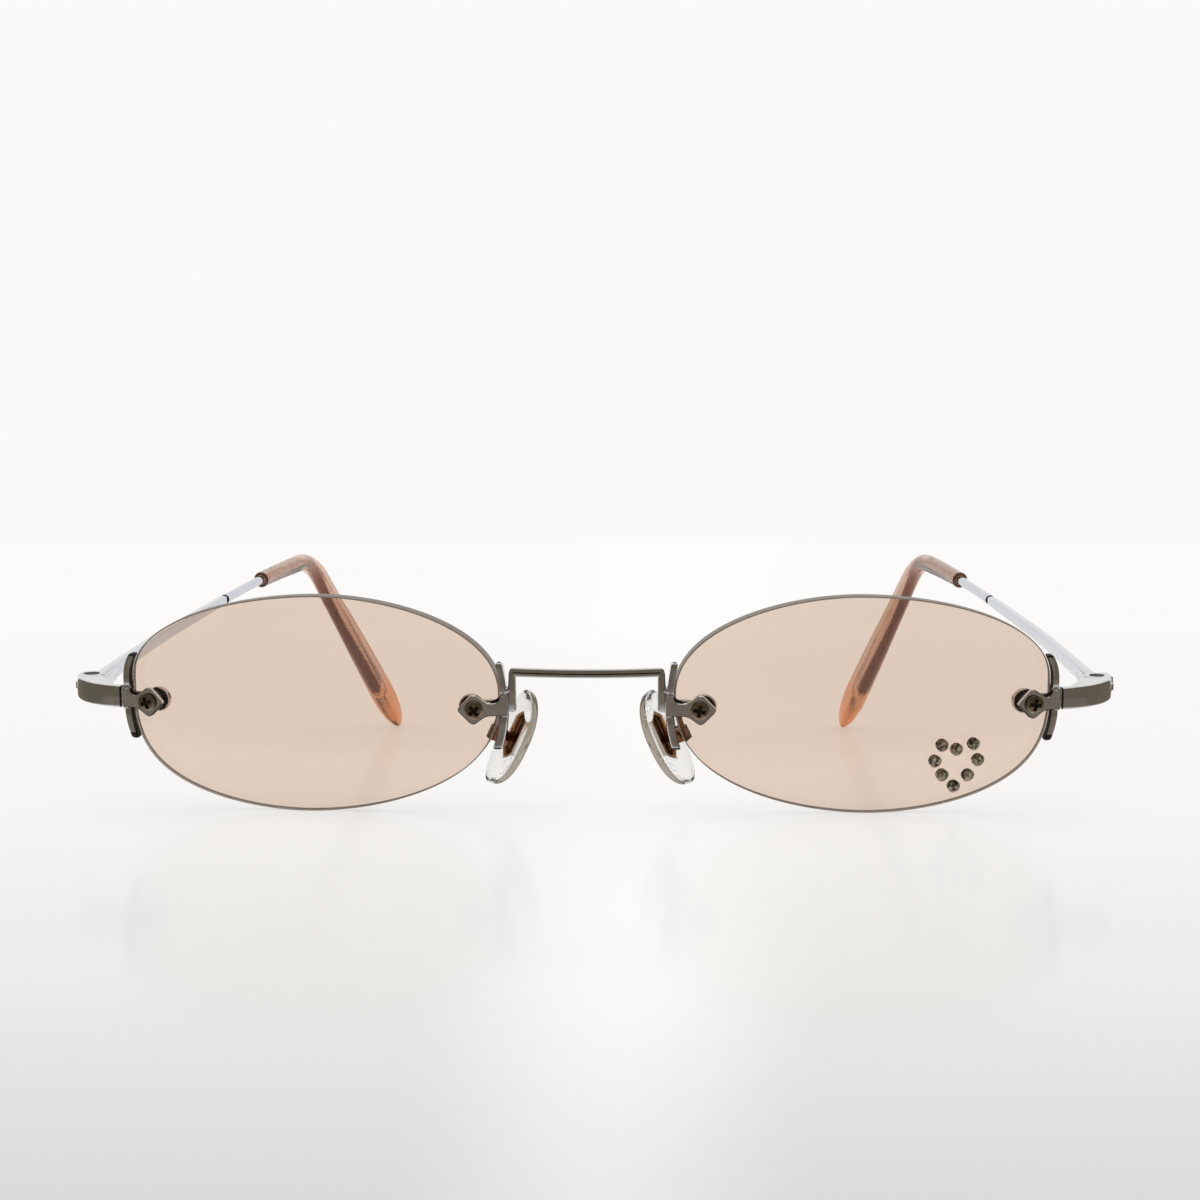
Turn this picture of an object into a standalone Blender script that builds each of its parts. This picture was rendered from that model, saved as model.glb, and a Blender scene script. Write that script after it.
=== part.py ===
"""Rimless oval sunglasses with folding temples, rocking nose pads and a heart of small stones on one lens.

Everything is drawn for the wearer's left side, in the frame of the glasses: +X to the wearer's left, +Y back
along the temples, +Z up, with the lenses' centre line at Z = 0. The right side is its mirror image. At the end
the whole assembly is tipped until it stands on the bottoms of the lenses and the tips of the temples.
"""

import math

import bmesh
import bpy
import numpy as np
from mathutils import Matrix, Vector

# All sizes are in metres and all angles in radians.

# Fits
SEAT_GAP = 0.0001  # between pieces that bear on each other
BORE_GAP = 0.0001  # round a shank in its bore

# Lenses
LENS_WIDTH = 0.0465
LENS_HEIGHT = 0.02705
LENS_THICKNESS = 0.0020
LENS_FRONT_RADIUS = 0.118
LENS_WRAP = math.radians(5.8)
BRIDGE_SPACE = 0.02195  # between the nasal ends of the two lenses
TEMPORAL_END_Z = 0.00275  # height of the outline's widest point at the temple
NASAL_END_Z = 0.0014
CROWN_U = -0.0011  # the outline's highest point, towards the nose
BELLY_U = 0.0013  # its lowest point, towards the temple
CROWN_POWER = 1.06
TOP_POWER = 0.93  # below 1, the outline is blunter at its end than an ellipse
NASAL_BOTTOM_POWER = 0.80
TEMPORAL_BOTTOM_POWER = 0.60

# Lens screws and the plastic bushings round them
TEMPORAL_SCREW_INSET = 0.0024  # from the lens's end to the screw
NASAL_SCREW_INSET = 0.0031
SCREW_Z = -0.0003
SCREW_SHANK_RADIUS = 0.0006
SCREW_HEAD_RADIUS = 0.00115
SCREW_HEAD_HEIGHT = 0.00045
SCREW_END = 0.0004  # stands out behind the rear strap
CROSS_LENGTH = 0.0013
CROSS_WIDTH = 0.00032
CROSS_DEPTH = 0.0003
BUSHING_WALL = 0.0003

# Lens mounts: a brace along the lens's edge, with a strap in front and a strap behind
STRAP_THICKNESS = 0.0007
SPADE_HALF_HEIGHT = 0.00175
SPADE_POINT = 0.0018
NECK_HEIGHT = 0.0015
REAR_DISC_RADIUS = 0.00145
BRACE_WIDTHS = {1: (0.0008, 0.0008), -1: (0.00105, 0.0008)}  # at the bottom and at the top
BRACE_DEPTH = 0.0015
NASAL_BRACE_RADIUS = 0.035  # straighter than the lens, which it meets in the middle
BRACE_ENDS = {1: (-0.0050, 0.00575), -1: (-0.00525, 0.0055)}  # bottom and top, at the temple and at the nose
BRACE_BEVEL = 0.0003
BRACE_LIP = 0.00085  # how far the brace stands out in front of the lens
BLOCK_WIDTH = 0.00103  # of the block that joins brace and straps
BLOCK_HEIGHT = 0.0025

# Bridge
BRIDGE_RADIUS = 0.00045
BRIDGE_Z = 0.00425
BRIDGE_BOW = 0.0010  # forwards, at the middle
BRIDGE_CORNER = 0.0009
BRIDGE_FOOT_Z = -0.0007
BRIDGE_DEPTH = 0.0002  # of the bridge's posts, behind the front of the nasal mount's lens edge

# Nose pads
PAD_LENGTH = 0.0128
PAD_WIDTH = 0.0072
PAD_THICKNESS = 0.0022
PAD_PIVOT = Vector((0.0113, 0.0086, -0.0048))
PAD_LEAN = math.radians(24.5)  # tops closer together than the bottoms
PAD_FLARE = math.radians(30)  # opening backwards
PAD_STANDOFF = 0.0011  # from the pad's back to the screw
CORE_LENGTH = 0.0070
CORE_WIDTH = 0.0030
CORE_THICKNESS = 0.0008
STEM_WIDTH = 0.0008
STEM_RADIUS = 0.0006
PAD_SCREW_RADIUS = 0.00035
PAD_SCREW_HEAD_RADIUS = 0.0006
PAD_SCREW_HEAD_HEIGHT = 0.0003
BOX_WALL = 0.00035
BOX_HEIGHT = 0.0019
ARM_RADIUS = 0.00042

# Endpieces
ENDPIECE_HEIGHT = 0.0027
ENDPIECE_THICKNESS = 0.0014
ENDPIECE_Z = 0.0002
ENDPIECE_RADIUS = 0.0095  # of the outer face, seen from above
ENDPIECE_START = math.radians(12)
ENDPIECE_END = math.radians(85)

# Hinges
BARREL_RADIUS = 0.00175
BUTT_LENGTH = 0.0019  # from the screw to the flat end that the temple closes on
TONGUE_RADIUS = 0.00205
TONGUE_THICKNESS = 0.0008
LEAF_THICKNESS = 0.0008
LEAF_HEIGHT = 0.0017
LEAF_LENGTH = 0.0060
HINGE_SHANK_RADIUS = 0.0006
HINGE_HEAD_RADIUS = 0.00095
HINGE_HEAD_HEIGHT = 0.0004
HINGE_SLOT_WIDTH = 0.0003

# Temples: a bar that tapers to a groove, a bowed wire behind it and a bend down
BAR_FRONT = (0.0014, 0.00195)  # thickness and height at the hinge
BAR_REAR = (0.0012, 0.0013)  # and at the groove
BAR_CORNER = 0.0003
BAR_OFFSET = 0.00045  # the bar's middle, outboard of the hinge screw
BAR_SINK = 0.0004  # the bar's middle at the hinge, below the endpiece's
BAR_LENGTH = 0.0528
STRAIGHT_LENGTH = 0.0205
GROOVE_LENGTH = 0.0006
GROOVE_SLOPE = 0.0001
GROOVE_RADIUS = 0.00045
WIRE_RADIUS = 0.0007
BEND_START = 0.0871  # from the bar's front end to the bend
BEND_RADIUS = 0.0140
DROP_LENGTH = 0.0449
TEMPLE_LEANS = (  # inwards, at distances from the bar's front end
    (STRAIGHT_LENGTH, math.radians(6.2)),
    (0.0340, math.radians(9.3)),
    (BEND_START, math.radians(10.3)),
    (BEND_START + 0.0100, math.radians(16.5)),
)
TEMPLE_RISE = math.radians(2.45)  # along the bar
BOW_PITCH = math.radians(-1.0)  # at the end of the bowed wire
TEMPLE_DROP = math.radians(44.5)

# Temple tips: sleeves pushed on the wire
TIP_SIZES = (  # distance from the bar's front end, half thickness and half height
    (0.0693, 0.00118, 0.00120),
    (0.0890, 0.00124, 0.00142),
    (0.1075, 0.00138, 0.00185),
    (0.1180, 0.00150, 0.00220),
    (0.1310, 0.00160, 0.00250),
)
MOUTH_AT = TIP_SIZES[0][0]
BLADE_LENGTH = 0.0108  # solid end past the wire, rounded off

# Stones, each in a shallow pit
STONE_RADIUS = 0.00078
STONE_TABLE = 0.00045
STONE_CROWN = 0.0004
STONE_SINK = 0.0003
HEART_U = 0.01135
HEART_Z = -0.0073
HEART_STONES = (
    (-0.00185, 0.00225),
    (0.00000, 0.00165),
    (0.00215, 0.00225),
    (0.00275, 0.00020),
    (0.00150, -0.00170),
    (-0.00025, -0.00305),
    (-0.00175, -0.00155),
    (-0.00270, 0.00025),
)

# Mesh fineness
LENS_STEPS = 56
LENS_RINGS = 4
ROUND_SIDES = 12
WIRE_SIDES = 8

MIRROR = Matrix.Scale(-1, 4, (1, 0, 0))
SIDES = {"left": 1, "right": -1}


# Materials

def material(name, colour, roughness, metallic, alpha=1.0):
    made = bpy.data.materials.new(name)
    made.use_nodes = True
    shader = made.node_tree.nodes["Principled BSDF"]
    shader.inputs["Base Color"].default_value = (*colour, 1.0)
    shader.inputs["Roughness"].default_value = roughness
    shader.inputs["Metallic"].default_value = metallic
    shader.inputs["Alpha"].default_value = alpha
    made.diffuse_color = (*colour, alpha)
    return made


def make_materials():
    return {
        "lens": material("tinted_lens", (0.70, 0.53, 0.43), 0.03, 0.0, 0.4),
        "metal": material("gunmetal", (0.13, 0.12, 0.10), 0.25, 1.0),
        "screw": material("brassy_screw", (0.24, 0.17, 0.10), 0.35, 1.0),
        "clear": material("clear_silicone", (0.90, 0.90, 0.89), 0.08, 0.0, 0.35),
        "core": material("coppery_core", (0.50, 0.27, 0.15), 0.35, 1.0),
        "tip": material("brown_tip", (0.40, 0.15, 0.07), 0.25, 0.0),
        "stone": material("smoked_stone", (0.09, 0.08, 0.06), 0.05, 0.0),
    }


# Shapes

def loft(rings):
    """A closed body through rings of equal count, with flat ends."""
    bm = bmesh.new()
    loops = [[bm.verts.new(point) for point in ring] for ring in rings]
    count = len(loops[0])
    for near, far in zip(loops, loops[1:]):
        for i in range(count):
            j = (i + 1) % count
            bm.faces.new((near[i], near[j], far[j], far[i]))
    bm.faces.new(loops[0])
    bm.faces.new(loops[-1])
    bmesh.ops.recalc_face_normals(bm, faces=bm.faces)
    return bm


def prism(outline, low, high, lift):
    """The outline, a list of pairs, raised from low to high. lift(a, b, height) gives each corner's place."""
    return loft([[Vector(lift(a, b, height)) for a, b in outline] for height in (low, high)])


def along_y(a, b, height):
    return (a, height, b)


def along_z(a, b, height):
    return (a, b, height)


def turned(profile, sides=ROUND_SIDES):
    """A profile of (radius, Y) pairs turned about Y, closed by the discs at its ends."""
    rings = []
    for radius, y in profile:
        angles = [2 * math.pi * i / sides for i in range(sides)]
        rings.append([Vector((radius * math.cos(a), y, radius * math.sin(a))) for a in angles])
    return loft(rings)


def tube(outer, inner, low, high):
    """A straight pipe along Y."""
    bm = bmesh.new()
    loops = []
    for radius, y in ((outer, low), (outer, high), (inner, high), (inner, low)):
        angles = [2 * math.pi * i / ROUND_SIDES for i in range(ROUND_SIDES)]
        loops.append([bm.verts.new((radius * math.cos(a), y, radius * math.sin(a))) for a in angles])
    for near, far in zip(loops, loops[1:] + loops[:1]):
        for i in range(ROUND_SIDES):
            j = (i + 1) % ROUND_SIDES
            bm.faces.new((near[i], near[j], far[j], far[i]))
    bmesh.ops.recalc_face_normals(bm, faces=bm.faces)
    return bm


def box(low, high):
    """A block between two corners."""
    outline = [(low[0], low[1]), (high[0], low[1]), (high[0], high[1]), (low[0], high[1])]
    return prism(outline, low[2], high[2], along_z)


def frames_along(points, across):
    """(point, across, up) at each point of a path, with across carried along it without twist."""
    found = []
    for i, point in enumerate(points):
        ahead = points[min(i + 1, len(points) - 1)] - points[max(i - 1, 0)]
        ahead.normalize()
        across = (across - across.dot(ahead) * ahead).normalized()
        found.append((point, across, across.cross(ahead)))
    return found


def section(frame, half_across, half_up, corner):
    """Twelve points round a rectangle with round corners. With all three sizes equal it is a circle."""
    centre, across, up = frame
    ring = []
    for quarter in range(4):
        side_a = 1 if quarter in (0, 3) else -1
        side_b = 1 if quarter in (0, 1) else -1
        for step in (15, 45, 75):
            angle = math.radians(90 * quarter + step)
            a = side_a * (half_across - corner) + corner * math.cos(angle)
            b = side_b * (half_up - corner) + corner * math.sin(angle)
            ring.append(centre + a * across + b * up)
    return ring


def wire(points, radius, across):
    """A round wire along a path."""
    rings = []
    for centre, side, up in frames_along(points, across):
        angles = [2 * math.pi * i / WIRE_SIDES for i in range(WIRE_SIDES)]
        rings.append([centre + radius * (math.cos(a) * side + math.sin(a) * up) for a in angles])
    return loft(rings)


def smooth_path(points, steps):
    """A curve through the points, each stretch cut into steps."""
    ends = [2 * points[0] - points[1], *points, 2 * points[-1] - points[-2]]
    found = []
    for before, start, end, after in zip(ends, ends[1:], ends[2:], ends[3:]):
        for k in range(steps):
            t = k / steps
            found.append(
                0.5 * (2 * start + (end - before) * t
                       + (2 * before - 5 * start + 4 * end - after) * t * t
                       + (3 * start - before - 3 * end + after) * t ** 3)
            )
    return found + [points[-1].copy()]


# Objects

def place(name, bm, frame, side, finish, parent):
    """Links the shape as an object. Its mirror image stands on the right side."""
    if side < 0:
        bmesh.ops.transform(bm, matrix=MIRROR, verts=bm.verts)
        bmesh.ops.reverse_faces(bm, faces=bm.faces)
        frame = MIRROR @ frame @ MIRROR
    mesh = bpy.data.meshes.new(name)
    bm.to_mesh(mesh)
    bm.free()
    mesh.shade_smooth()
    mesh.set_sharp_from_angle(angle=math.radians(30))
    obj = bpy.data.objects.new(name, mesh)
    bpy.context.scene.collection.objects.link(obj)
    if finish:
        mesh.materials.append(finish)
    obj.parent = parent
    obj.matrix_basis = placed_at(parent).inverted() @ frame
    return obj


def placed_at(parent):
    """Where an empty stands in the frame of the glasses."""
    return parent.matrix_basis if parent.parent else Matrix.Identity(4)


def empty(name, frame=None, parent=None):
    made = bpy.data.objects.new(name, None)
    bpy.context.scene.collection.objects.link(made)
    made.parent = parent
    if frame:
        made.matrix_basis = frame
    return made


def helper(name, bm, frame, side, parent):
    """A shape that only joins or cuts another one."""
    made = place(name, bm, frame, side, None, parent)
    made.hide_render = True
    made.display_type = "WIRE"
    return made


def combine(obj, other, operation):
    step = obj.modifiers.new(other.name, "BOOLEAN")
    step.operation = operation
    step.object = other


# Lens geometry

LENS_ORIGIN = Vector((
    BRIDGE_SPACE / 2 + math.cos(LENS_WRAP) * LENS_WIDTH / 2,
    math.sin(LENS_WRAP) * LENS_WIDTH / 2,
    0,
))
LENS_FRAME = Matrix.Translation(LENS_ORIGIN) @ Matrix.Rotation(LENS_WRAP, 4, "Z")
TEMPORAL, NASAL = 1, -1


def side_power(end, top):
    if top:
        return TOP_POWER
    return TEMPORAL_BOTTOM_POWER if end == TEMPORAL else NASAL_BOTTOM_POWER


def quarter_sizes(end, top):
    """(tallest U, widest Z, half width, half height) of one quarter of the outline."""
    tallest = CROWN_U if top else BELLY_U
    widest = TEMPORAL_END_Z if end == TEMPORAL else NASAL_END_Z
    half_height = LENS_HEIGHT / 2 - widest if top else LENS_HEIGHT / 2 + widest
    return tallest, widest, LENS_WIDTH / 2 - end * tallest, half_height


def outline_point(angle):
    """(U, Z) on the lens's outline."""
    c, s = math.cos(angle), math.sin(angle)
    end, top = (TEMPORAL if c > 0 else NASAL), s > 0
    tallest, widest, half_width, half_height = quarter_sizes(end, top)
    u = tallest + end * half_width * abs(c) ** CROWN_POWER
    z = widest + math.copysign(half_height * abs(s) ** side_power(end, top), s)
    return u, z


def edge_u(z, end):
    """U on the outline at a height, at one end of the lens."""
    widest = TEMPORAL_END_Z if end == TEMPORAL else NASAL_END_Z
    top = z > widest
    tallest, widest, half_width, half_height = quarter_sizes(end, top)
    s = (abs(z - widest) / half_height) ** (1 / side_power(end, top))
    return tallest + end * half_width * math.sqrt(max(0.0, 1 - s * s)) ** CROWN_POWER


def surface_y(u, z, depth):
    """Y of the surface that lies this deep in the lens."""
    radius = LENS_FRONT_RADIUS - depth
    return LENS_FRONT_RADIUS - math.sqrt(radius ** 2 - u * u - z * z)


def screw_u(end):
    inset = TEMPORAL_SCREW_INSET if end == TEMPORAL else NASAL_SCREW_INSET
    return end * (LENS_WIDTH / 2 - inset)


def surface_frame(u, z):
    """Frame on the lens's front: X towards the temple, Y into the lens, square to it, Z up."""
    point = Vector((u, surface_y(u, z, 0), z))
    inward = (Vector((0, LENS_FRONT_RADIUS, 0)) - point).normalized()
    across = inward.cross(Vector((0, 0, 1))).normalized()
    up = across.cross(inward)
    turn = Matrix((across, inward, up)).transposed().to_4x4()
    return LENS_FRAME @ Matrix.Translation(point) @ turn


def mount_frame(end):
    return surface_frame(screw_u(end), SCREW_Z)


# Lenses, bushings, screws and stones

def lens_body():
    bm = bmesh.new()
    sheets = []
    for depth in (0, LENS_THICKNESS):
        centre = bm.verts.new((0, surface_y(0, 0, depth), 0))
        rings = []
        for k in range(1, LENS_RINGS + 1):
            share = k / LENS_RINGS
            ring = []
            for i in range(LENS_STEPS):
                u, z = outline_point(2 * math.pi * i / LENS_STEPS)
                ring.append(bm.verts.new((u * share, surface_y(u * share, z * share, depth), z * share)))
            rings.append(ring)
        for i in range(LENS_STEPS):
            j = (i + 1) % LENS_STEPS
            bm.faces.new((centre, rings[0][i], rings[0][j]))
            for near, far in zip(rings, rings[1:]):
                bm.faces.new((near[i], far[i], far[j], near[j]))
        sheets.append(rings[-1])
    for i in range(LENS_STEPS):
        j = (i + 1) % LENS_STEPS
        bm.faces.new((sheets[0][i], sheets[0][j], sheets[1][j], sheets[1][i]))
    bmesh.ops.recalc_face_normals(bm, faces=bm.faces)
    return bm


def bushing_radius():
    return SCREW_SHANK_RADIUS + BORE_GAP + BUSHING_WALL


def make_lens(side_name, parent, finish):
    side = SIDES[side_name]
    lens = place(f"{side_name}_lens", lens_body(), LENS_FRAME, side, finish, parent)
    hole = bushing_radius() + SEAT_GAP
    for end, word in ((TEMPORAL, "temporal"), (NASAL, "nasal")):
        drill = turned([(hole, -LENS_THICKNESS), (hole, 2 * LENS_THICKNESS)])
        cutter = helper(f"{side_name}_{word}_drill", drill, mount_frame(end), side, parent)
        combine(lens, cutter, "DIFFERENCE")
    return lens


def make_stones(lens, parent, finish):
    """Flat-backed cut stones, sunk in pits that follow a heart."""
    facets = 8
    crown = STONE_CROWN - STONE_SINK
    for number, (du, dz) in enumerate(HEART_STONES, 1):
        frame = surface_frame(HEART_U + du, HEART_Z + dz)
        pit = turned([(STONE_RADIUS + SEAT_GAP, -LENS_THICKNESS), (STONE_RADIUS + SEAT_GAP, STONE_SINK + SEAT_GAP)])
        cutter = helper(f"heart_pit_{number}", pit, frame, 1, parent)
        combine(lens, cutter, "DIFFERENCE")
        stone = turned(
            [(STONE_TABLE, -crown - STONE_SINK / 3), (STONE_RADIUS, 0), (STONE_RADIUS, STONE_SINK)], facets
        )
        place(f"heart_stone_{number}", stone, frame, 1, finish, parent)


def make_lens_screw(side_name, end, word, parent, finishes):
    """The cross-head screw through both straps, and the bushing round it in the lens."""
    side = SIDES[side_name]
    frame = mount_frame(end)
    wall = bushing_radius()
    bushing = tube(wall, wall - BUSHING_WALL, 0, LENS_THICKNESS)
    place(f"{side_name}_{word}_bushing", bushing, frame, side, finishes["clear"], parent)
    under_head = -2 * SEAT_GAP - STRAP_THICKNESS
    top = under_head - SCREW_HEAD_HEIGHT
    far_end = LENS_THICKNESS + SEAT_GAP + STRAP_THICKNESS + SCREW_END
    screw = place(
        f"{side_name}_{word}_lens_screw",
        turned([
            (SCREW_HEAD_RADIUS * 0.7, top),
            (SCREW_HEAD_RADIUS, top + SCREW_HEAD_HEIGHT / 2),
            (SCREW_HEAD_RADIUS, under_head),
            (SCREW_SHANK_RADIUS, under_head),
            (SCREW_SHANK_RADIUS, far_end),
        ]),
        frame, side, finishes["screw"], parent,
    )
    half, wide = CROSS_LENGTH / 2, CROSS_WIDTH / 2
    cross = [
        (half, -wide), (half, wide), (wide, wide), (wide, half), (-wide, half), (-wide, wide),
        (-half, wide), (-half, -wide), (-wide, -wide), (-wide, -half), (wide, -half), (wide, -wide),
    ]
    recess = prism(cross, top - CROSS_DEPTH, top + CROSS_DEPTH, along_y)
    combine(screw, helper(f"{side_name}_{word}_cross", recess, frame, side, parent), "DIFFERENCE")


# Lens mounts

def brace_u(z, end):
    """U of the brace's side towards the lens. At the temple it follows the lens's edge."""
    if end == TEMPORAL:
        return edge_u(z, end) + 1.2 * SEAT_GAP
    return -LENS_WIDTH / 2 - 1.2 * SEAT_GAP + (z - SCREW_Z) ** 2 / (2 * NASAL_BRACE_RADIUS)


def brace_body(end):
    """The bar along the lens's edge, in the frame of the lens."""
    bottom, top = BRACE_ENDS[end]
    steps = 8
    rings = []
    for k in range(steps + 1):
        z = bottom + (top - bottom) * k / steps
        trim = BRACE_BEVEL if k in (0, steps) else 0
        low_width, high_width = BRACE_WIDTHS[end]
        inner = brace_u(z, end)
        outer = inner + end * (low_width + (high_width - low_width) * k / steps - trim)
        front = surface_y(edge_u(z, end), z, 0) - BRACE_LIP + trim
        back = front + BRACE_DEPTH - 2 * trim
        rings.append([(inner, front, z), (outer, front, z), (outer, back, z), (inner, back, z)])
    return loft(rings)


def block_inner(end):
    """U of the block's side towards the lens."""
    return end * (LENS_WIDTH / 2 + 1.2 * SEAT_GAP)


def block_back(end):
    """Y of the block's back, level with the rear strap's."""
    return surface_y(LENS_WIDTH / 2, 0, LENS_THICKNESS) + SEAT_GAP + STRAP_THICKNESS * 0.95


def block_body(end):
    low, high = sorted((block_inner(end), block_inner(end) + end * BLOCK_WIDTH))
    front = surface_y(LENS_WIDTH / 2, 0, 0) - BRACE_LIP * 1.05
    half = BLOCK_HEIGHT / 2
    return box((low, front, ENDPIECE_Z - half), (high, block_back(end), ENDPIECE_Z + half))


def strap_reach(end):
    """From the screw to the middle of the block, along the strap."""
    inset = TEMPORAL_SCREW_INSET if end == TEMPORAL else NASAL_SCREW_INSET
    return inset + 1.2 * SEAT_GAP + BLOCK_WIDTH / 2


def front_strap(end):
    reach, neck = strap_reach(end), NECK_HEIGHT / 2
    upper = [(0.0012, neck), (-0.0001, SPADE_HALF_HEIGHT), (-SPADE_POINT, 0)]
    lower = [(a, -b) for a, b in reversed(upper[:-1])]
    outline = [(reach, neck), *upper, *lower, (reach, -neck)]
    return prism([(end * a, b) for a, b in outline], -SEAT_GAP - STRAP_THICKNESS, -SEAT_GAP, along_y)


def rear_strap(end):
    """A disc round the screw with a neck to the brace."""
    reach, neck = strap_reach(end), NECK_HEIGHT / 2
    first = math.asin(neck / REAR_DISC_RADIUS)
    turns = 10
    outline = [(reach, -neck), (reach, neck)]
    for k in range(turns + 1):
        angle = first + (2 * math.pi - 2 * first) * k / turns
        outline.append((REAR_DISC_RADIUS * math.cos(angle), REAR_DISC_RADIUS * math.sin(angle)))
    low = LENS_THICKNESS + SEAT_GAP
    return prism([(end * a, b) for a, b in outline], low, low + STRAP_THICKNESS, along_y)


def make_mount(side_name, end, word, parent, finish):
    side = SIDES[side_name]
    mount = place(f"{side_name}_{word}_mount", brace_body(end), LENS_FRAME, side, finish, parent)
    block = helper(f"{side_name}_{word}_block", block_body(end), LENS_FRAME, side, parent)
    combine(mount, block, "UNION")
    for form, shape in (("front_strap", front_strap(end)), ("rear_strap", rear_strap(end))):
        strap = helper(f"{side_name}_{word}_{form}", shape, mount_frame(end), side, parent)
        combine(mount, strap, "UNION")
    bore = SCREW_SHANK_RADIUS + BORE_GAP
    drill = turned([(bore, -0.003), (bore, LENS_THICKNESS + 0.003)])
    combine(mount, helper(f"{side_name}_{word}_strap_drill", drill, mount_frame(end), side, parent), "DIFFERENCE")
    return mount


def block_place(end, z, depth):
    """A point of the block's outer side, in the frame of the glasses."""
    return LENS_FRAME @ Vector((block_inner(end) + end * BLOCK_WIDTH, surface_y(LENS_WIDTH / 2, 0, 0) + depth, z))


# Bridge

def make_bridge(parent, finish):
    """One wire: up the left nasal mount, across the nose and down the right one."""
    side_face = block_place(NASAL, 0, 0)
    x = side_face.x - SEAT_GAP - BRIDGE_RADIUS
    y = side_face.y + BRIDGE_DEPTH
    points = [Vector((x, y, BRIDGE_FOOT_Z)), Vector((x, y, BRIDGE_FOOT_Z / 2 + BRIDGE_Z / 2))]
    steps = 5
    for k in range(steps + 1):
        angle = math.pi / 2 * k / steps
        inward, upward = BRIDGE_CORNER * (1 - math.cos(angle)), BRIDGE_CORNER * math.sin(angle)
        points.append(Vector((x - inward, y, BRIDGE_Z - BRIDGE_CORNER + upward)))
    span = x - BRIDGE_CORNER
    for share in (0.75, 0.5, 0.25, 0):
        bow = 1 - share ** 2
        points.append(Vector((span * share, y - BRIDGE_BOW * bow, BRIDGE_Z)))
    points += [Vector((-p.x, p.y, p.z)) for p in reversed(points[:-1])]
    place("bridge", wire(points, BRIDGE_RADIUS, Vector((0, 1, 0))), Matrix.Identity(4), 1, finish, parent)


# Nose pads

def pad_frame():
    """Frame on the pad's screw: X away from the nose, Y along the screw, Z up the pad."""
    up = Vector((-math.sin(PAD_LEAN), 0, math.cos(PAD_LEAN)))
    width = Vector((math.sin(PAD_FLARE), math.cos(PAD_FLARE), 0))
    width = (width - width.dot(up) * up).normalized()
    away = width.cross(up)
    turn = Matrix((away, width, up)).transposed().to_4x4()
    return Matrix.Translation(PAD_PIVOT) @ turn


def pad_body():
    """A lens-like cushion, thickest in the middle, with its back at X = -PAD_STANDOFF."""
    sides, steps = 16, 10
    back = -PAD_STANDOFF
    rings = []
    for k in range(steps + 1):
        t = -1 + 2 * (k + 0.15) / (steps + 0.3)
        share = math.sqrt(1 - abs(t) ** 2.4)
        z = t * PAD_LENGTH / 2
        half_width = PAD_WIDTH / 2 * share
        thick = PAD_THICKNESS * (0.35 + 0.65 * share)
        ring = []
        for i in range(sides):
            angle = 2 * math.pi * i / sides
            c, s = math.cos(angle), math.sin(angle)
            x = back - thick / 2 + thick / 2 * math.copysign(abs(c) ** 0.7, c)
            ring.append(Vector((x, half_width * math.copysign(abs(s) ** 0.9, s), z)))
        rings.append(ring)
    return loft(rings)


def core_outline(grow):
    """A long hexagon."""
    half_length, half_width = CORE_LENGTH / 2 + grow, CORE_WIDTH / 2 + grow
    shoulder = half_length - half_width * 0.8
    return [
        (half_width, shoulder), (0, half_length), (-half_width, shoulder),
        (-half_width, -shoulder), (0, -half_length), (half_width, -shoulder),
    ]


def along_x(a, b, height):
    return (height, a, b)


def make_pad(side_name, frame_parent, pivot, finishes):
    side = SIDES[side_name]
    frame = pad_frame()
    pad = place(f"{side_name}_nose_pad", pad_body(), frame, side, finishes["clear"], pivot)
    floor = -PAD_STANDOFF - CORE_THICKNESS - SEAT_GAP
    pocket = prism(core_outline(SEAT_GAP), floor - SEAT_GAP, 0, along_x)
    combine(pad, helper(f"{side_name}_pad_pocket", pocket, frame, side, pivot), "DIFFERENCE")

    core = place(
        f"{side_name}_pad_core", prism(core_outline(0), floor, floor + CORE_THICKNESS, along_x),
        frame, side, finishes["core"], pivot,
    )
    half = STEM_WIDTH / 2
    rounds = [math.radians(-90 + 30 * k) for k in range(7)]
    stem_side = [(STEM_RADIUS * math.cos(a), STEM_RADIUS * math.sin(a)) for a in rounds]
    stem_side += [(floor + CORE_THICKNESS / 2, STEM_RADIUS), (floor + CORE_THICKNESS / 2, -STEM_RADIUS)]
    stem = prism(stem_side, -half, half, along_y)
    combine(core, helper(f"{side_name}_pad_stem", stem, frame, side, pivot), "UNION")
    bore = PAD_SCREW_RADIUS + BORE_GAP
    drill = turned([(bore, -0.003), (bore, 0.003)])
    combine(core, helper(f"{side_name}_stem_drill", drill, frame, side, pivot), "DIFFERENCE")

    ear = half + BORE_GAP
    outside = ear + BOX_WALL
    screw = turned([
        (PAD_SCREW_HEAD_RADIUS, -outside - SEAT_GAP - PAD_SCREW_HEAD_HEIGHT),
        (PAD_SCREW_HEAD_RADIUS, -outside - SEAT_GAP),
        (PAD_SCREW_RADIUS, -outside - SEAT_GAP),
        (PAD_SCREW_RADIUS, outside),
    ])
    place(f"{side_name}_pad_screw", screw, frame, side, finishes["screw"], frame_parent)

    arm = place(f"{side_name}_pad_arm", arm_body(), Matrix.Identity(4), side, finishes["metal"], frame_parent)
    tall, near = BOX_HEIGHT / 2, -STEM_RADIUS
    far = box_far()
    case = box((near, -outside, -tall), (far, outside, tall))
    combine(arm, helper(f"{side_name}_pad_box", case, frame, side, frame_parent), "UNION")
    room = box((near - BOX_WALL, -ear, -tall - BOX_WALL), (far - BOX_WALL, ear, tall + BOX_WALL))
    combine(arm, helper(f"{side_name}_pad_box_room", room, frame, side, frame_parent), "DIFFERENCE")
    combine(arm, helper(f"{side_name}_box_drill", turned([(bore, -0.003), (bore, 0.003)]), frame, side, frame_parent),
            "DIFFERENCE")


def box_far():
    """From the pad's screw to the outer side of the box's back."""
    return STEM_RADIUS + 2 * SEAT_GAP + BOX_WALL


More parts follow.
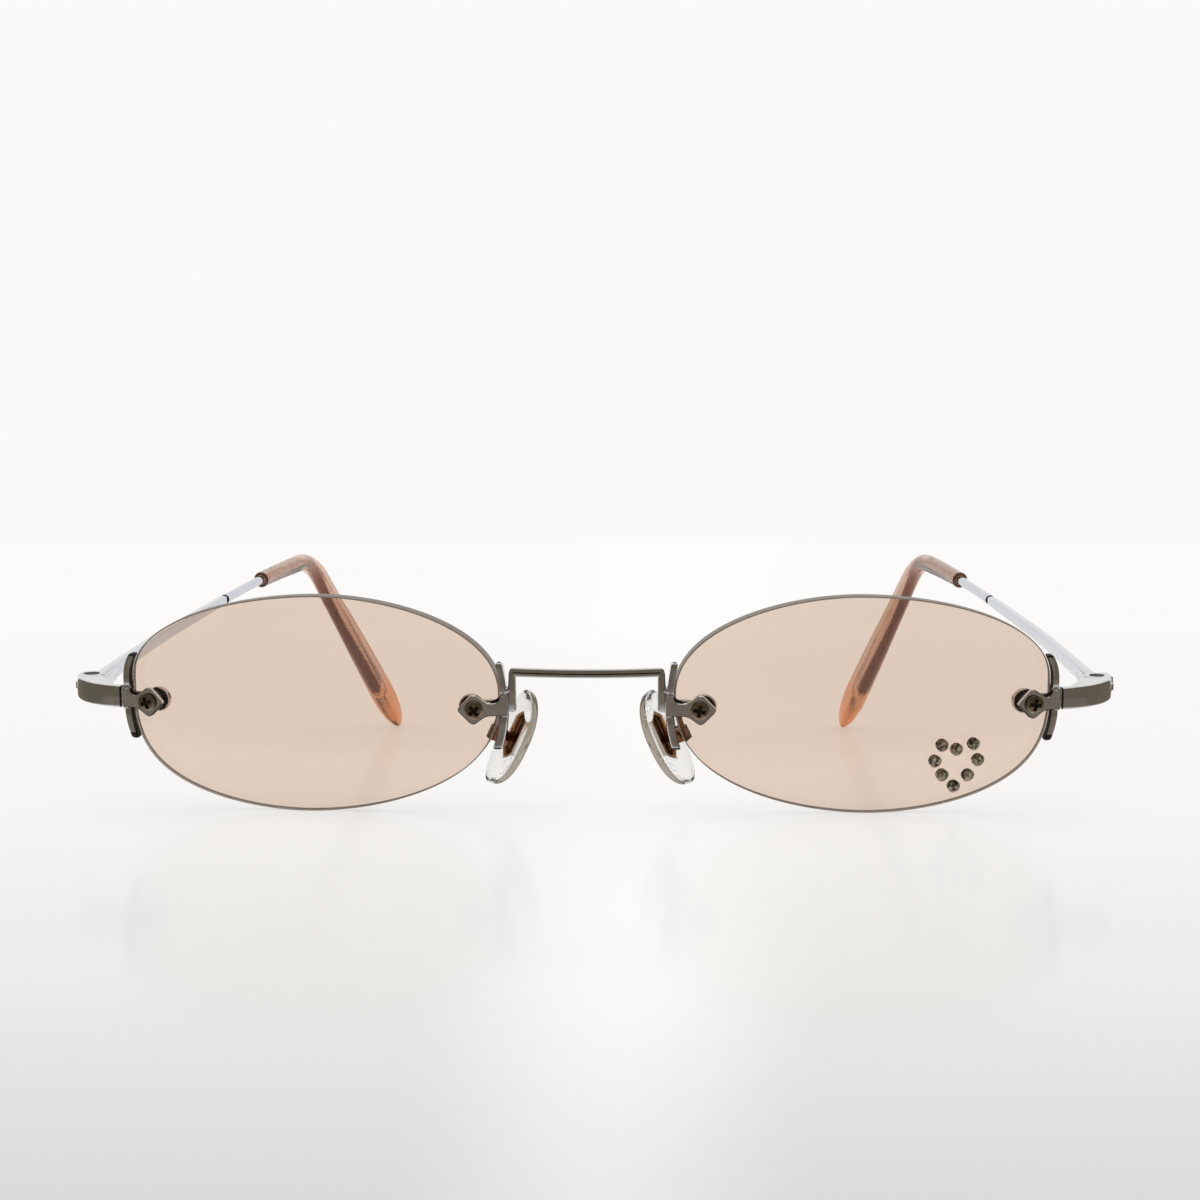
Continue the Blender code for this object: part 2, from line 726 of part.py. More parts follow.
def arm_body():
    """The wire from the back of the nasal mount down to the pad's box."""
    start = LENS_FRAME @ Vector((block_inner(NASAL) - BLOCK_WIDTH / 2, block_back(NASAL) + SEAT_GAP, SCREW_Z))
    frame = pad_frame()
    end = frame @ Vector((box_far() - ARM_RADIUS / 2, 0, -ARM_RADIUS))
    above = frame @ Vector((box_far() - ARM_RADIUS / 2, 0, 0.0017))
    points = [start, start + Vector((0.0001, 0.0016, 0.0002)), (start + above) / 2 + Vector((0.0004, 0.0013, 0.0009)),
              above, end]
    return wire(smooth_path(points, 4), ARM_RADIUS, Vector((1, 0, 0)))


# Endpieces and hinges

def endpiece_start():
    """Where the endpiece's outer face meets the brace."""
    start = block_place(TEMPORAL, ENDPIECE_Z, -BRACE_LIP)
    start += SEAT_GAP * (LENS_FRAME.to_3x3() @ Vector((1, 0, 0)))
    start.z = ENDPIECE_Z
    return start


def endpiece_centre():
    """The middle of the endpiece's curve, seen from above."""
    start = endpiece_start()
    toward = Vector((-math.sin(ENDPIECE_START), math.cos(ENDPIECE_START), 0))
    return start + ENDPIECE_RADIUS * toward


def on_endpiece(angle, radius):
    return endpiece_centre() + radius * Vector((math.sin(angle), -math.cos(angle), 0))


def hinge_frame():
    """Frame on the hinge screw: X outwards, Y back along the temple, Z up."""
    axis = on_endpiece(ENDPIECE_END, ENDPIECE_RADIUS - BARREL_RADIUS)
    return Matrix.Translation(axis) @ Matrix.Rotation(TEMPLE_LEANS[0][1], 4, "Z")


def upright(bm):
    """Stands a shape turned about Y on end, so that its Y points down."""
    bmesh.ops.rotate(bm, cent=(0, 0, 0), matrix=Matrix.Rotation(math.radians(-90), 3, "X"), verts=bm.verts)
    return bm


def make_endpiece(side_name, parent, finish):
    side = SIDES[side_name]
    steps = 10
    rings = []
    middle = ENDPIECE_RADIUS - ENDPIECE_THICKNESS / 2
    for k in range(steps + 1):
        angle = ENDPIECE_START + (ENDPIECE_END - ENDPIECE_START) * k / steps
        outward = Vector((math.sin(angle), -math.cos(angle), 0))
        station = (on_endpiece(angle, middle), outward, Vector((0, 0, 1)))
        rings.append(section(station, ENDPIECE_THICKNESS / 2, ENDPIECE_HEIGHT / 2, BAR_CORNER))
    # The near end is cut to lie along the brace's side.
    side_way = LENS_FRAME.to_3x3() @ Vector((1, 0, 0))
    along = Vector((math.cos(ENDPIECE_START), math.sin(ENDPIECE_START), 0))
    rings[0] = [p - along * ((p - endpiece_start()).dot(side_way) / along.dot(side_way)) for p in rings[0]]
    name = f"{side_name}_endpiece"
    endpiece = place(name, loft(rings), Matrix.Identity(4), side, finish, parent)
    frame = hinge_frame()
    tall = ENDPIECE_HEIGHT / 2
    barrel = upright(turned([(BARREL_RADIUS, -tall), (BARREL_RADIUS, tall)], 20))
    combine(endpiece, helper(f"{side_name}_barrel", barrel, frame, side, parent), "UNION")
    butt = box((0, -0.0010, -tall), (BARREL_RADIUS, BUTT_LENGTH, tall))
    combine(endpiece, helper(f"{side_name}_butt", butt, frame, side, parent), "UNION")

    slot = TONGUE_THICKNESS / 2 + BORE_GAP
    reach = TONGUE_RADIUS + 2 * BORE_GAP
    room = box((-0.004, -reach, -slot), (0.004, 0.004, slot))
    combine(endpiece, helper(f"{side_name}_hinge_slot", room, frame, side, parent), "DIFFERENCE")
    bore = HINGE_SHANK_RADIUS + BORE_GAP
    sunk = HINGE_HEAD_HEIGHT + SEAT_GAP
    seat = HINGE_HEAD_RADIUS + BORE_GAP
    drill = upright(turned([(seat, -2 * tall), (seat, -tall + sunk), (bore, -tall + sunk), (bore, 2 * tall)]))
    combine(endpiece, helper(f"{side_name}_hinge_drill", drill, frame, side, parent), "DIFFERENCE")

    screw = place(
        f"{side_name}_hinge_screw",
        upright(turned([
            (HINGE_HEAD_RADIUS, -tall), (HINGE_HEAD_RADIUS, -tall + HINGE_HEAD_HEIGHT),
            (HINGE_SHANK_RADIUS, -tall + HINGE_HEAD_HEIGHT), (HINGE_SHANK_RADIUS, tall),
        ])),
        frame, side, finish, parent,
    )
    half = HINGE_SLOT_WIDTH / 2
    groove = box((-0.002, -half, tall - HINGE_HEAD_HEIGHT / 2), (0.002, half, 2 * tall))
    combine(screw, helper(f"{side_name}_screw_slot", groove, frame, side, parent), "DIFFERENCE")


def make_hinge_leaf(side_name, pivot, finish):
    """The plate on the temple's inner side, and its tongue in the endpiece's slot."""
    side = SIDES[side_name]
    frame = hinge_frame()
    face = BAR_OFFSET - BAR_FRONT[0] / 2 - SEAT_GAP
    start = BUTT_LENGTH + SEAT_GAP
    half = TONGUE_THICKNESS / 2
    low, high = -BAR_SINK - LEAF_HEIGHT / 2, -BAR_SINK + LEAF_HEIGHT / 2
    plate = box((face - LEAF_THICKNESS, start, low), (face, start + LEAF_LENGTH, high))
    for vertex in plate.verts:
        # The plate climbs with the bar.
        vertex.co.z += (vertex.co.y - start) * math.tan(TEMPLE_RISE)
    leaf = place(f"{side_name}_temple_hinge_leaf", plate, frame, side, finish, pivot)
    first, turns = math.asin(-face / TONGUE_RADIUS), 12
    outline = [(face, start + LEAF_THICKNESS), (face - LEAF_THICKNESS, start + LEAF_THICKNESS)]
    begin = math.pi / 2 + math.asin((LEAF_THICKNESS - face) / TONGUE_RADIUS)
    finish_angle = 2 * math.pi + math.pi / 2 + first
    for k in range(turns + 1):
        angle = begin + (finish_angle - begin) * k / turns
        # Flattened where it faces the end of the temple's bar.
        outline.append((TONGUE_RADIUS * math.cos(angle), min(BUTT_LENGTH, TONGUE_RADIUS * math.sin(angle))))
    tongue = prism(outline, -half, half, along_z)
    combine(leaf, helper(f"{side_name}_tongue", tongue, frame, side, pivot), "UNION")
    bore = HINGE_SHANK_RADIUS + BORE_GAP
    drill = upright(turned([(bore, -0.003), (bore, 0.003)]))
    combine(leaf, helper(f"{side_name}_tongue_drill", drill, frame, side, pivot), "DIFFERENCE")


# Temples

BEND_LENGTH = BEND_RADIUS * (BOW_PITCH + TEMPLE_DROP)
TEMPLE_LENGTH = BEND_START + BEND_LENGTH + DROP_LENGTH


def temple_angles(distance):
    """(lean, pitch) of the temple's line, this far from the bar's front end."""
    places, leans = zip(*TEMPLE_LEANS)
    lean = float(np.interp(distance, places, leans))
    turns = (BAR_LENGTH, BEND_START, BEND_START + BEND_LENGTH)
    return lean, float(np.interp(distance, turns, (TEMPLE_RISE, BOW_PITCH, -TEMPLE_DROP)))


def temple_points(distances):
    """Points of the temple's line at these distances, walked in short steps."""
    stride = 0.0005
    frame = hinge_frame()
    point = frame @ Vector((BAR_OFFSET, BUTT_LENGTH + SEAT_GAP, -BAR_SINK))
    found, walked = [], 0.0
    for distance in distances:
        while walked < distance:
            step = min(stride, distance - walked)
            lean, pitch = temple_angles(walked + step / 2)
            point = point + step * Vector((
                -math.sin(lean) * math.cos(pitch), math.cos(lean) * math.cos(pitch), math.sin(pitch),
            ))
            walked += step
        found.append(point.copy())
    return found


def stations(start, end, longest):
    """Distances along the temple from start to end, closer together round the bend."""
    marks = {start, end}
    for a, b, step in (
        (0, STRAIGHT_LENGTH, STRAIGHT_LENGTH),
        (STRAIGHT_LENGTH, BEND_START, longest),
        (BEND_START, BEND_START + BEND_LENGTH, BEND_LENGTH / 6),
        (BEND_START + BEND_LENGTH, TEMPLE_LENGTH, longest),
    ):
        count = max(1, round((b - a) / step))
        marks |= {a + (b - a) * k / count for k in range(count + 1)}
    kept = sorted(m for m in marks if start <= m <= end)
    return [m for i, m in enumerate(kept) if i == 0 or m - kept[i - 1] > 1e-6]


def temple_section(distance):
    """(half thickness, half height, corner) of the temple, this far from the bar's front end."""
    if distance <= BAR_LENGTH:
        thick, high = (float(np.interp(distance, (0, BAR_LENGTH), pair)) for pair in zip(BAR_FRONT, BAR_REAR))
        return thick / 2, high / 2, BAR_CORNER
    in_groove = distance < BAR_LENGTH + GROOVE_LENGTH - GROOVE_SLOPE / 2
    return (GROOVE_RADIUS if in_groove else WIRE_RADIUS,) * 3


def make_temple(side_name, pivot, finish):
    """The tapered bar, the groove behind it and the round wire that the sleeve is pushed on."""
    groove = [BAR_LENGTH, BAR_LENGTH + GROOVE_SLOPE, BAR_LENGTH + GROOVE_LENGTH - GROOVE_SLOPE,
              BAR_LENGTH + GROOVE_LENGTH]
    distances = stations(0, TEMPLE_LENGTH - BLADE_LENGTH, 0.012)
    distances = [d for d in distances if abs(d - BAR_LENGTH) > 2 * GROOVE_LENGTH]
    distances = sorted([*distances, *groove])
    stops = frames_along(temple_points(distances), Vector((1, 0, 0)))
    rings = [section(stop, *temple_section(distance)) for distance, stop in zip(distances, stops)]
    place(f"{side_name}_temple", loft(rings), Matrix.Identity(4), SIDES[side_name], finish, pivot)


def tip_size(distance):
    """(half thickness, half height, corner) of the sleeve, this far from the bar's front end."""
    places, thicks, highs = zip(*TIP_SIZES)
    past = max(0.0, distance - (TEMPLE_LENGTH - BLADE_LENGTH)) / BLADE_LENGTH
    round_off = math.sqrt(1 - past * past)
    thick = float(np.interp(distance, places, thicks)) * round_off
    high = float(np.interp(distance, places, highs)) * round_off
    return thick, high, min(thick, high) * 0.999


def make_tip(side_name, pivot, finish):
    """The sleeve: its outer skin, and the bore that the wire sits in, open at the mouth."""
    outer_at = stations(MOUTH_AT, TEMPLE_LENGTH, 0.008)
    blade = TEMPLE_LENGTH - BLADE_LENGTH
    outer_at = [d for d in outer_at if d < blade]
    outer_at += [blade + BLADE_LENGTH * share for share in (0, 0.35, 0.6, 0.8, 0.92, 0.98)]
    bore_end = blade + SEAT_GAP
    bore_at = [d for d in outer_at if d < blade - 0.001] + [bore_end]
    outer_frames = frames_along(temple_points(outer_at), Vector((1, 0, 0)))
    bore_frames = frames_along(temple_points(bore_at), Vector((1, 0, 0)))
    outer = [section(f, *tip_size(d)) for d, f in zip(outer_at, outer_frames)]
    bore = WIRE_RADIUS + BORE_GAP
    inner = [section(f, bore, bore, bore) for f in bore_frames]
    body = loft(list(reversed(inner)) + outer)
    place(f"{side_name}_temple_tip", body, Matrix.Identity(4), SIDES[side_name], finish, pivot)


# Assembly

def points_of(words):
    """The corners of the pieces whose names hold one of the words, in the frame of the glasses."""
    found = []
    for obj in bpy.data.objects:
        if obj.type == "MESH" and not obj.hide_render and any(word in obj.name for word in words):
            frame = placed_at(obj.parent) @ obj.matrix_basis
            found += [frame @ vertex.co for vertex in obj.data.vertices]
    return found


def settle(rest):
    """Tips the glasses back until lenses and temple tips touch the ground, and centres them over the origin."""
    lenses, tips = points_of(["_lens"]), points_of(["_temple_tip"])
    low, high = 0.0, math.radians(30)
    for _ in range(40):
        tilt = (low + high) / 2
        turn = Matrix.Rotation(tilt, 3, "X")
        if min((turn @ p).z for p in tips) < min((turn @ p).z for p in lenses):
            low = tilt
        else:
            high = tilt
    turn = Matrix.Rotation(tilt, 3, "X")
    turned_points = [turn @ p for p in points_of([""])]
    floor = min(p.z for p in turned_points)
    front, back = min(p.y for p in turned_points), max(p.y for p in turned_points)
    rest.matrix_basis = Matrix.Translation((0, -(front + back) / 2, -floor)) @ turn.to_4x4()


def build():
    for obj in list(bpy.data.objects):
        bpy.data.objects.remove(obj)
    finishes = make_materials()
    rest = empty("rest_pose")
    for side_name, side in SIDES.items():
        lens = make_lens(side_name, rest, finishes["lens"])
        if side_name == "left":
            make_stones(lens, rest, finishes["stone"])
        for end, word in ((TEMPORAL, "temporal"), (NASAL, "nasal")):
            make_mount(side_name, end, word, rest, finishes["metal"])
            make_lens_screw(side_name, end, word, rest, finishes)
        pad_at, hinge_at = pad_frame(), hinge_frame()
        if side < 0:
            pad_at, hinge_at = MIRROR @ pad_at @ MIRROR, MIRROR @ hinge_at @ MIRROR
        pad_pivot = empty(f"{side_name}_pad_pivot", pad_at, rest)
        make_pad(side_name, rest, pad_pivot, finishes)
        make_endpiece(side_name, rest, finishes["metal"])
        temple_pivot = empty(f"{side_name}_temple_pivot", hinge_at, rest)
        make_hinge_leaf(side_name, temple_pivot, finishes["metal"])
        make_temple(side_name, temple_pivot, finishes["metal"])
        make_tip(side_name, temple_pivot, finishes["tip"])
    make_bridge(rest, finishes["metal"])
    settle(rest)


build()
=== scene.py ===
"""The looks of the rimless oval sunglasses: finer pieces over the solids, their materials, and a pale studio.

Each piece is drawn for the wearer's left side, in the frame of the glasses: +X to the wearer's left, +Y back
along the temples, +Z up. It is then tipped into the row's frame, in which the glasses stand on their lenses and
temple tips.
"""

import math

import bmesh
import bpy
import numpy as np
from mathutils import Matrix, Vector


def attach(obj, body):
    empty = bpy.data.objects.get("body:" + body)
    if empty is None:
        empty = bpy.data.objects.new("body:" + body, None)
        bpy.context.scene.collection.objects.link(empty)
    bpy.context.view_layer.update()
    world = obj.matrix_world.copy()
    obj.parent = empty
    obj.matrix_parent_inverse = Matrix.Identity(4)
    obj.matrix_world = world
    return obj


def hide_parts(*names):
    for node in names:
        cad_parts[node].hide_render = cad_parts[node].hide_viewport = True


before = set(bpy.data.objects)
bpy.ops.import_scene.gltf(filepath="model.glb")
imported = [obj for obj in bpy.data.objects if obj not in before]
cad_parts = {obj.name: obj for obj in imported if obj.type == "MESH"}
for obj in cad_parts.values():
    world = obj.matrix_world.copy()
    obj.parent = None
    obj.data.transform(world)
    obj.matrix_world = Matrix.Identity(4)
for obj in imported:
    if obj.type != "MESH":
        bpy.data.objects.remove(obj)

# All sizes are in metres and all angles in radians.

SIDES = {"left": 1, "right": -1}
TEMPORAL, NASAL = 1, -1
ACROSS, BACK, UP = (Vector(way) for way in ((1, 0, 0), (0, 1, 0), (0, 0, 1)))
MIRROR = Matrix.Scale(-1, 4, ACROSS)
GLASSES = Matrix.Identity(4)

# How the glasses stand
REST_TILT = math.radians(8.038847)
REST_SHIFT = Vector((0, -0.073322, 0.012936))
REST = Matrix.Translation(REST_SHIFT) @ Matrix.Rotation(REST_TILT, 4, "X")

# Fits
SEAT_GAP = 0.0001
BORE_GAP = 0.0001
BRACE_GAP = 1.2 * SEAT_GAP
EDGE_SOFT = 0.0001

# Lenses
LENS_WIDTH = 0.0465
LENS_HEIGHT = 0.02705
LENS_THICKNESS = 0.0020
LENS_FRONT_RADIUS = 0.118
LENS_WRAP = math.radians(5.8)
BRIDGE_SPACE = 0.02195
WIDEST_Z = {TEMPORAL: 0.00275, NASAL: 0.0014}
CROWN_U = -0.0011
BELLY_U = 0.0013
CROWN_POWER = 1.06
TOP_POWER = 0.93
BOTTOM_POWERS = {TEMPORAL: 0.60, NASAL: 0.80}
LENS_CHAMFER = 0.00015

# Lens screws and bushings
SCREW_INSETS = {TEMPORAL: 0.0024, NASAL: 0.0031}
SCREW_Z = -0.0003
SCREW_SHANK_RADIUS = 0.0006
SCREW_HEAD_RADIUS = 0.00115
SCREW_HEAD_HEIGHT = 0.00045
SCREW_END = 0.0004
SCREW_HEAD_PROFILE = ((0.35, 0), (0.70, 0.00004), (0.90, 0.00012), (1, 0.00024))
CROSS_LENGTH = 0.0015
CROSS_WIDTH = 0.00048
CROSS_DEPTH = 0.00025
CROSS_TURNS = {
    "left": {TEMPORAL: math.radians(8), NASAL: math.radians(12)},
    "right": {TEMPORAL: math.radians(20), NASAL: math.radians(40)},
}
BUSHING_WALL = 0.0003
BUSHING_RADIUS = SCREW_SHANK_RADIUS + BORE_GAP + BUSHING_WALL

# Lens mounts
STRAP_THICKNESS = 0.0007
SPADE_HALF_HEIGHT = 0.00185
SPADE_POINT = 0.0020
NECK_HEIGHT = 0.0016
REAR_DISC_RADIUS = 0.00155
REAR_DISC_SHIFT = 0.0003
BRACE_WIDTHS = {TEMPORAL: (0.00088, 0.00085), NASAL: (0.0011, 0.0008)}
BRACE_DEPTH = 0.0015
NASAL_BRACE_RADIUS = 0.035
NASAL_LEAN = 2.4
BRACE_ENDS = {TEMPORAL: (-0.0050, 0.00575), NASAL: (-0.00525, 0.0055)}
BRACE_SOFT = 0.00028
BRACE_CORNER = 0.00022
BRACE_SHADED_FEET = {TEMPORAL: 2 * BRACE_SOFT, NASAL: BRACE_SOFT}
BRACE_LIP = 0.00085
BRACE_LIP_RISE = 0.0006
BRACE_SHADED_CAP = 0.0005
STRAP_LIP = 0.0006
BLOCK_WIDTH = 0.00103
BLOCK_HEIGHT = 0.0025
RIM_BEVEL = 0.00014
FRONT_BEVEL = 0.00009

# Bridge
BRIDGE_RADIUS = 0.00045
BRIDGE_Z = 0.00425
BRIDGE_BOW = 0.0010
BAR_RADIUS = 0.00054
BAR_FLATNESS = 0.8
BAR_FACETS = (-0.5, -0.14, 0.14, 0.5)
POST_TOP = 0.00042
POST_FOOT = 0.0006
POST_SOFT = 0.0003
SOLDER_TOP = 0.0025
BRIDGE_FOOT_Z = -0.0007
BRIDGE_DEPTH = 0.0002

# Nose pads
PAD_LENGTH = 0.0128
PAD_WIDTH = 0.0072
PAD_THICKNESS = 0.0022
PAD_PIVOT = Vector((0.0113, 0.0086, -0.0048))
PAD_LEAN = math.radians(24.5)
PAD_FLARE = math.radians(30)
PAD_STANDOFF = 0.0011
PAD_SHADE_SHARE = 0.07
CORE_LENGTH = 0.0070
CORE_WIDTH = 0.0030
CORE_THICKNESS = 0.0008
CORE_SINK = 0.00035
CORE_SHIFT = 0.0010
CORE_RISE = 0.0007
CORE_RIM = 0.00045
STEM_WIDTH = 0.0008
STEM_RADIUS = 0.0006
PAD_SCREW_RADIUS = 0.00035
PAD_SCREW_HEAD_RADIUS = 0.0006
PAD_SCREW_HEAD_HEIGHT = 0.0003
PAD_SCREW_PROFILE = ((0.6, 1), (0.92, 0.75), (1, 0.5), (1, 0))
BOX_WALL = 0.00035
BOX_HEIGHT = 0.0019
BOX_BEVEL = 0.00008
BOX_FAR = STEM_RADIUS + 2 * SEAT_GAP + BOX_WALL
ARM_RADIUS = 0.00042

# Endpieces and hinges
ENDPIECE_HEIGHT = 0.0027
ENDPIECE_THICKNESS = 0.0014
ENDPIECE_RIDGE = 0.00004
RIDGE_SOFT = 0.00006
ENDPIECE_STEP = 0.00002
ENDPIECE_Z = 0.0002
ENDPIECE_RADIUS = 0.0095
ENDPIECE_START = math.radians(12)
ENDPIECE_END = math.radians(85)
ENDPIECE_SOFT = 0.00016
BARREL_RADIUS = 0.00175
BARREL_SOFT = 0.00015
BUTT_LENGTH = 0.0019
WEB_THICKNESS = 0.0005
TONGUE_RADIUS = 0.00205
TONGUE_THICKNESS = 0.0008
LEAF_THICKNESS = 0.0008
LEAF_HEIGHT = 0.0017
LEAF_LENGTH = 0.0060
LEAF_THINNING = 0.75
HINGE_SHANK_RADIUS = 0.0006
HINGE_HEAD_RADIUS = 0.00095
HINGE_HEAD_HEIGHT = 0.0004
HINGE_SLOT_WIDTH = 0.0003

# Temples: a bar that tapers to a groove, a bowed wire behind it and a bend down
BAR_FRONT = (0.0014, 0.00195)
BAR_REAR = (0.0012, 0.0013)
BAR_CORNER = 0.0003
BAR_SOFT = 0.00012
BAR_SOFT_LENGTH = 0.0002
BAR_OFFSET = 0.00045
BAR_SINK = 0.0004
BAR_LENGTH = 0.0528
STRAIGHT_LENGTH = 0.0205
GROOVE_LENGTH = 0.0006
GROOVE_SLOPE = 0.0001
GROOVE_RADIUS = 0.00045
WIRE_RADIUS = 0.0007
FLAT_WIRE = (0.00085, 0.0012)
WIRE_ASIDE = 0.0003
WIRE_LOW = 0.00025
FLATTENING_LENGTH = 0.0200
TAPER_LENGTH = 0.0045
PALE_WIRE = (0.60, 0.42, 0.30)
PALE_WIRE_TO = 0.0285
BROWN_WIRE_FROM = 0.0450
BEND_START = 0.0871
BEND_RADIUS = 0.0140
DROP_LENGTH = 0.0449
TEMPLE_LEANS = (
    (STRAIGHT_LENGTH, math.radians(6.2)),
    (0.0340, math.radians(9.3)),
    (BEND_START, math.radians(10.3)),
    (BEND_START + 0.0100, math.radians(16.5)),
)
TEMPLE_RISE = math.radians(2.45)
BOW_PITCH = math.radians(-1.0)
TEMPLE_DROP = math.radians(44.5)
BEND_LENGTH = BEND_RADIUS * (BOW_PITCH + TEMPLE_DROP)
TEMPLE_LENGTH = BEND_START + BEND_LENGTH + DROP_LENGTH

# Temple tips
TIP_SIZES = (
    (0.0693, 0.00118, 0.00120),
    (0.0890, 0.00124, 0.00142),
    (0.1075, 0.00138, 0.00185),
    (0.1180, 0.00150, 0.00220),
    (0.1310, 0.00160, 0.00250),
)
MOUTH_AT = TIP_SIZES[0][0]
MOUTH_SOFT = 0.00015
MOUTH_SOFT_LENGTH = 0.00025
BLADE_LENGTH = 0.0108
PALE_BROWN = (0.84, 0.56, 0.42)
PALE_TO = 0.0260
BROWN_FROM = 0.0400
# Painted glow towards the sleeve's end
PAINTED_GLOW = (0.80, 0.29, 0.09)
PAINTED_GLOW_FROM = 0.0600
PAINTED_GLOW_TO = 0.0695

# Stones
STONE_RADIUS = 0.00078
STONE_TABLE = 0.00042
STONE_RISE = 0.0002
STONE_SINK = 0.0003
STONE_TURN = math.radians(37)
HEART_U = 0.01135
HEART_Z = -0.0073
HEART_STONES = (
    (-0.00185, 0.00225),
    (0.00000, 0.00165),
    (0.00215, 0.00225),
    (0.00275, 0.00020),
    (0.00150, -0.00170),
    (-0.00025, -0.00305),
    (-0.00175, -0.00155),
    (-0.00270, 0.00025),
)

# Fineness
LENS_STEPS = 200
LENS_RINGS = 14
ROUND_SIDES = 40
WIRE_SIDES = 24
STRIDE = 0.0005
CORNER_POINTS = 6


# Shapes

def loft(rings, caps=True):
    """A body through rings of equal count, closed at both ends by flat caps."""
    bm = bmesh.new()
    loops = [[bm.verts.new(point) for point in ring] for ring in rings]
    count = len(loops[0])
    for near, far in zip(loops, loops[1:]):
        for i in range(count):
            j = (i + 1) % count
            bm.faces.new((near[i], near[j], far[j], far[i]))
    if caps:
        bm.faces.new(loops[0])
        bm.faces.new(loops[-1])
    bmesh.ops.recalc_face_normals(bm, faces=bm.faces)
    return bm


def paint(bm, first, last, number):
    """Gives the faces from the first up to the last the finish of this number."""
    bm.faces.ensure_lookup_table()
    for face in bm.faces[first:last]:
        face.material_index = number


def merged(bodies):
    """Several bodies in one mesh, with the numbers of their finishes."""
    result = bmesh.new()
    for body in bodies:
        mesh = bpy.data.meshes.new("part")
        body.to_mesh(mesh)
        body.free()
        result.from_mesh(mesh)
        bpy.data.meshes.remove(mesh)
    return result


def circle(radius, sides, turn=0.0):
    angles = [turn + 2 * math.pi * i / sides for i in range(sides)]
    return [(radius * math.cos(a), radius * math.sin(a)) for a in angles]


def turned(profile, sides=ROUND_SIDES, caps=True):
    """A profile of (radius, Y) pairs turned about Y."""
    return loft([[along_y(a, b, y) for a, b in circle(radius, sides)] for radius, y in profile], caps)


def along_y(a, b, height):
    return Vector((a, height, b))


def along_z(a, b, height):
    return Vector((a, b, height))


def along_x(a, b, height):
    return Vector((height, a, b))


def prism(outline, low, high, lift):
    return loft([[lift(a, b, height) for a, b in outline] for height in (low, high)])


def rectangle(left, low, right, high):
    return [(left, low), (right, low), (right, high), (left, high)]


def inset(outline, distance):
    """The outline moved inwards by the distance."""
    count = len(outline)
    pairs = zip(outline, [*outline[1:], outline[0]])
    way = 1 if sum(here[0] * after[1] - after[0] * here[1] for here, after in pairs) > 0 else -1
    moved = []
    for i in range(count):
        before, here, after = (Vector(outline[j % count]) for j in (i - 1, i, i + 1))
        first, second = (here - before).normalized(), (after - here).normalized()
        normals = [Vector((-d.y, d.x)) * way for d in (first, second)]
        middle = (normals[0] + normals[1]).normalized()
        reach = distance / max(0.5, middle.dot(normals[0]))
        moved.append(tuple(here + middle * reach))
    return moved


def plate(outline, low, high, lift, bevel=RIM_BEVEL):
    """A plate with bevelled rims. The bevels get the second finish."""
    rings = []
    for height, trim in ((low, bevel), (low + bevel, 0), (high - bevel, 0), (high, bevel)):
        flat = inset(outline, trim) if trim else outline
        rings.append([lift(a, b, height) for a, b in flat])
    bm = loft(rings)
    count = len(outline)
    paint(bm, 0, count, 1)
    paint(bm, 2 * count, 3 * count, 1)
    return bm


def rounded(corners, radius, points=4):
    """The polygon with each corner cut by an arc-like curve."""
    found = []
    count = len(corners)
    for i in range(count):
        before, here, after = (Vector(corners[j % count]) for j in (i - 1, i, i + 1))
        size = radius[i] if isinstance(radius, (list, tuple)) else radius
        into, out = before - here, after - here
        start = here + into.normalized() * min(size, into.length * 0.49)
        end = here + out.normalized() * min(size, out.length * 0.49)
        for k in range(points + 1):
            t = k / points
            found.append(tuple((1 - t) ** 2 * start + 2 * t * (1 - t) * here + t * t * end))
    return found


def block(low, high, bevel=RIM_BEVEL):
    """A block between two corners, with bevelled rims top and bottom and rounded upright edges."""
    outline = rounded(rectangle(low[0], low[1], high[0], high[1]), bevel, 3)
    return plate(outline, low[2], high[2], along_z, bevel)


def frames_along(points, across):
    """(point, across, up) at each point of a path, with across carried along it without twist."""
    found = []
    for i, point in enumerate(points):
        ahead = points[min(i + 1, len(points) - 1)] - points[max(i - 1, 0)]
        ahead.normalize()
        across = (across - across.dot(ahead) * ahead).normalized()
        found.append((point, across, across.cross(ahead)))
    return found


def section(station, half_across, half_up, corner, points=CORNER_POINTS):
    """Points round a rectangle with round corners. With all three sizes equal it is a circle."""
    centre, across, up = station
    ring = []
    for quarter in range(4):
        side_a = 1 if quarter in (0, 3) else -1
        side_b = 1 if quarter in (0, 1) else -1
        for k in range(points):
            angle = math.radians(90) * (quarter + (k + 0.5) / points)
            a = side_a * (half_across - corner) + corner * math.cos(angle)
            b = side_b * (half_up - corner) + corner * math.sin(angle)
            ring.append(centre + a * across + b * up)
    return ring


def wire(points, radius):
    """A round wire along a path."""
    rings = []
    for centre, across, up in frames_along(points, ACROSS):
        rings.append([centre + a * across + b * up for a, b in circle(radius, WIRE_SIDES)])
    return loft(rings)


def smooth_path(points, steps):
    """A curve through the points, each stretch cut into steps."""
    ends = [2 * points[0] - points[1], *points, 2 * points[-1] - points[-2]]
    found = []
    for before, start, end, after in zip(ends, ends[1:], ends[2:], ends[3:]):
        for k in range(steps):
            t = k / steps
            found.append(
                0.5 * (2 * start + (end - before) * t
                       + (2 * before - 5 * start + 4 * end - after) * t * t
                       + (3 * start - before - 3 * end + after) * t ** 3)
            )
    return found + [points[-1].copy()]


def blob(centre, size):
    """A small rounded lump of solder."""
    bm = bmesh.new()
    bmesh.ops.create_uvsphere(bm, u_segments=16, v_segments=8, radius=1)
    bmesh.ops.scale(bm, vec=size, verts=bm.verts)
    bmesh.ops.translate(bm, vec=centre, verts=bm.verts)
    return bm


# Pieces

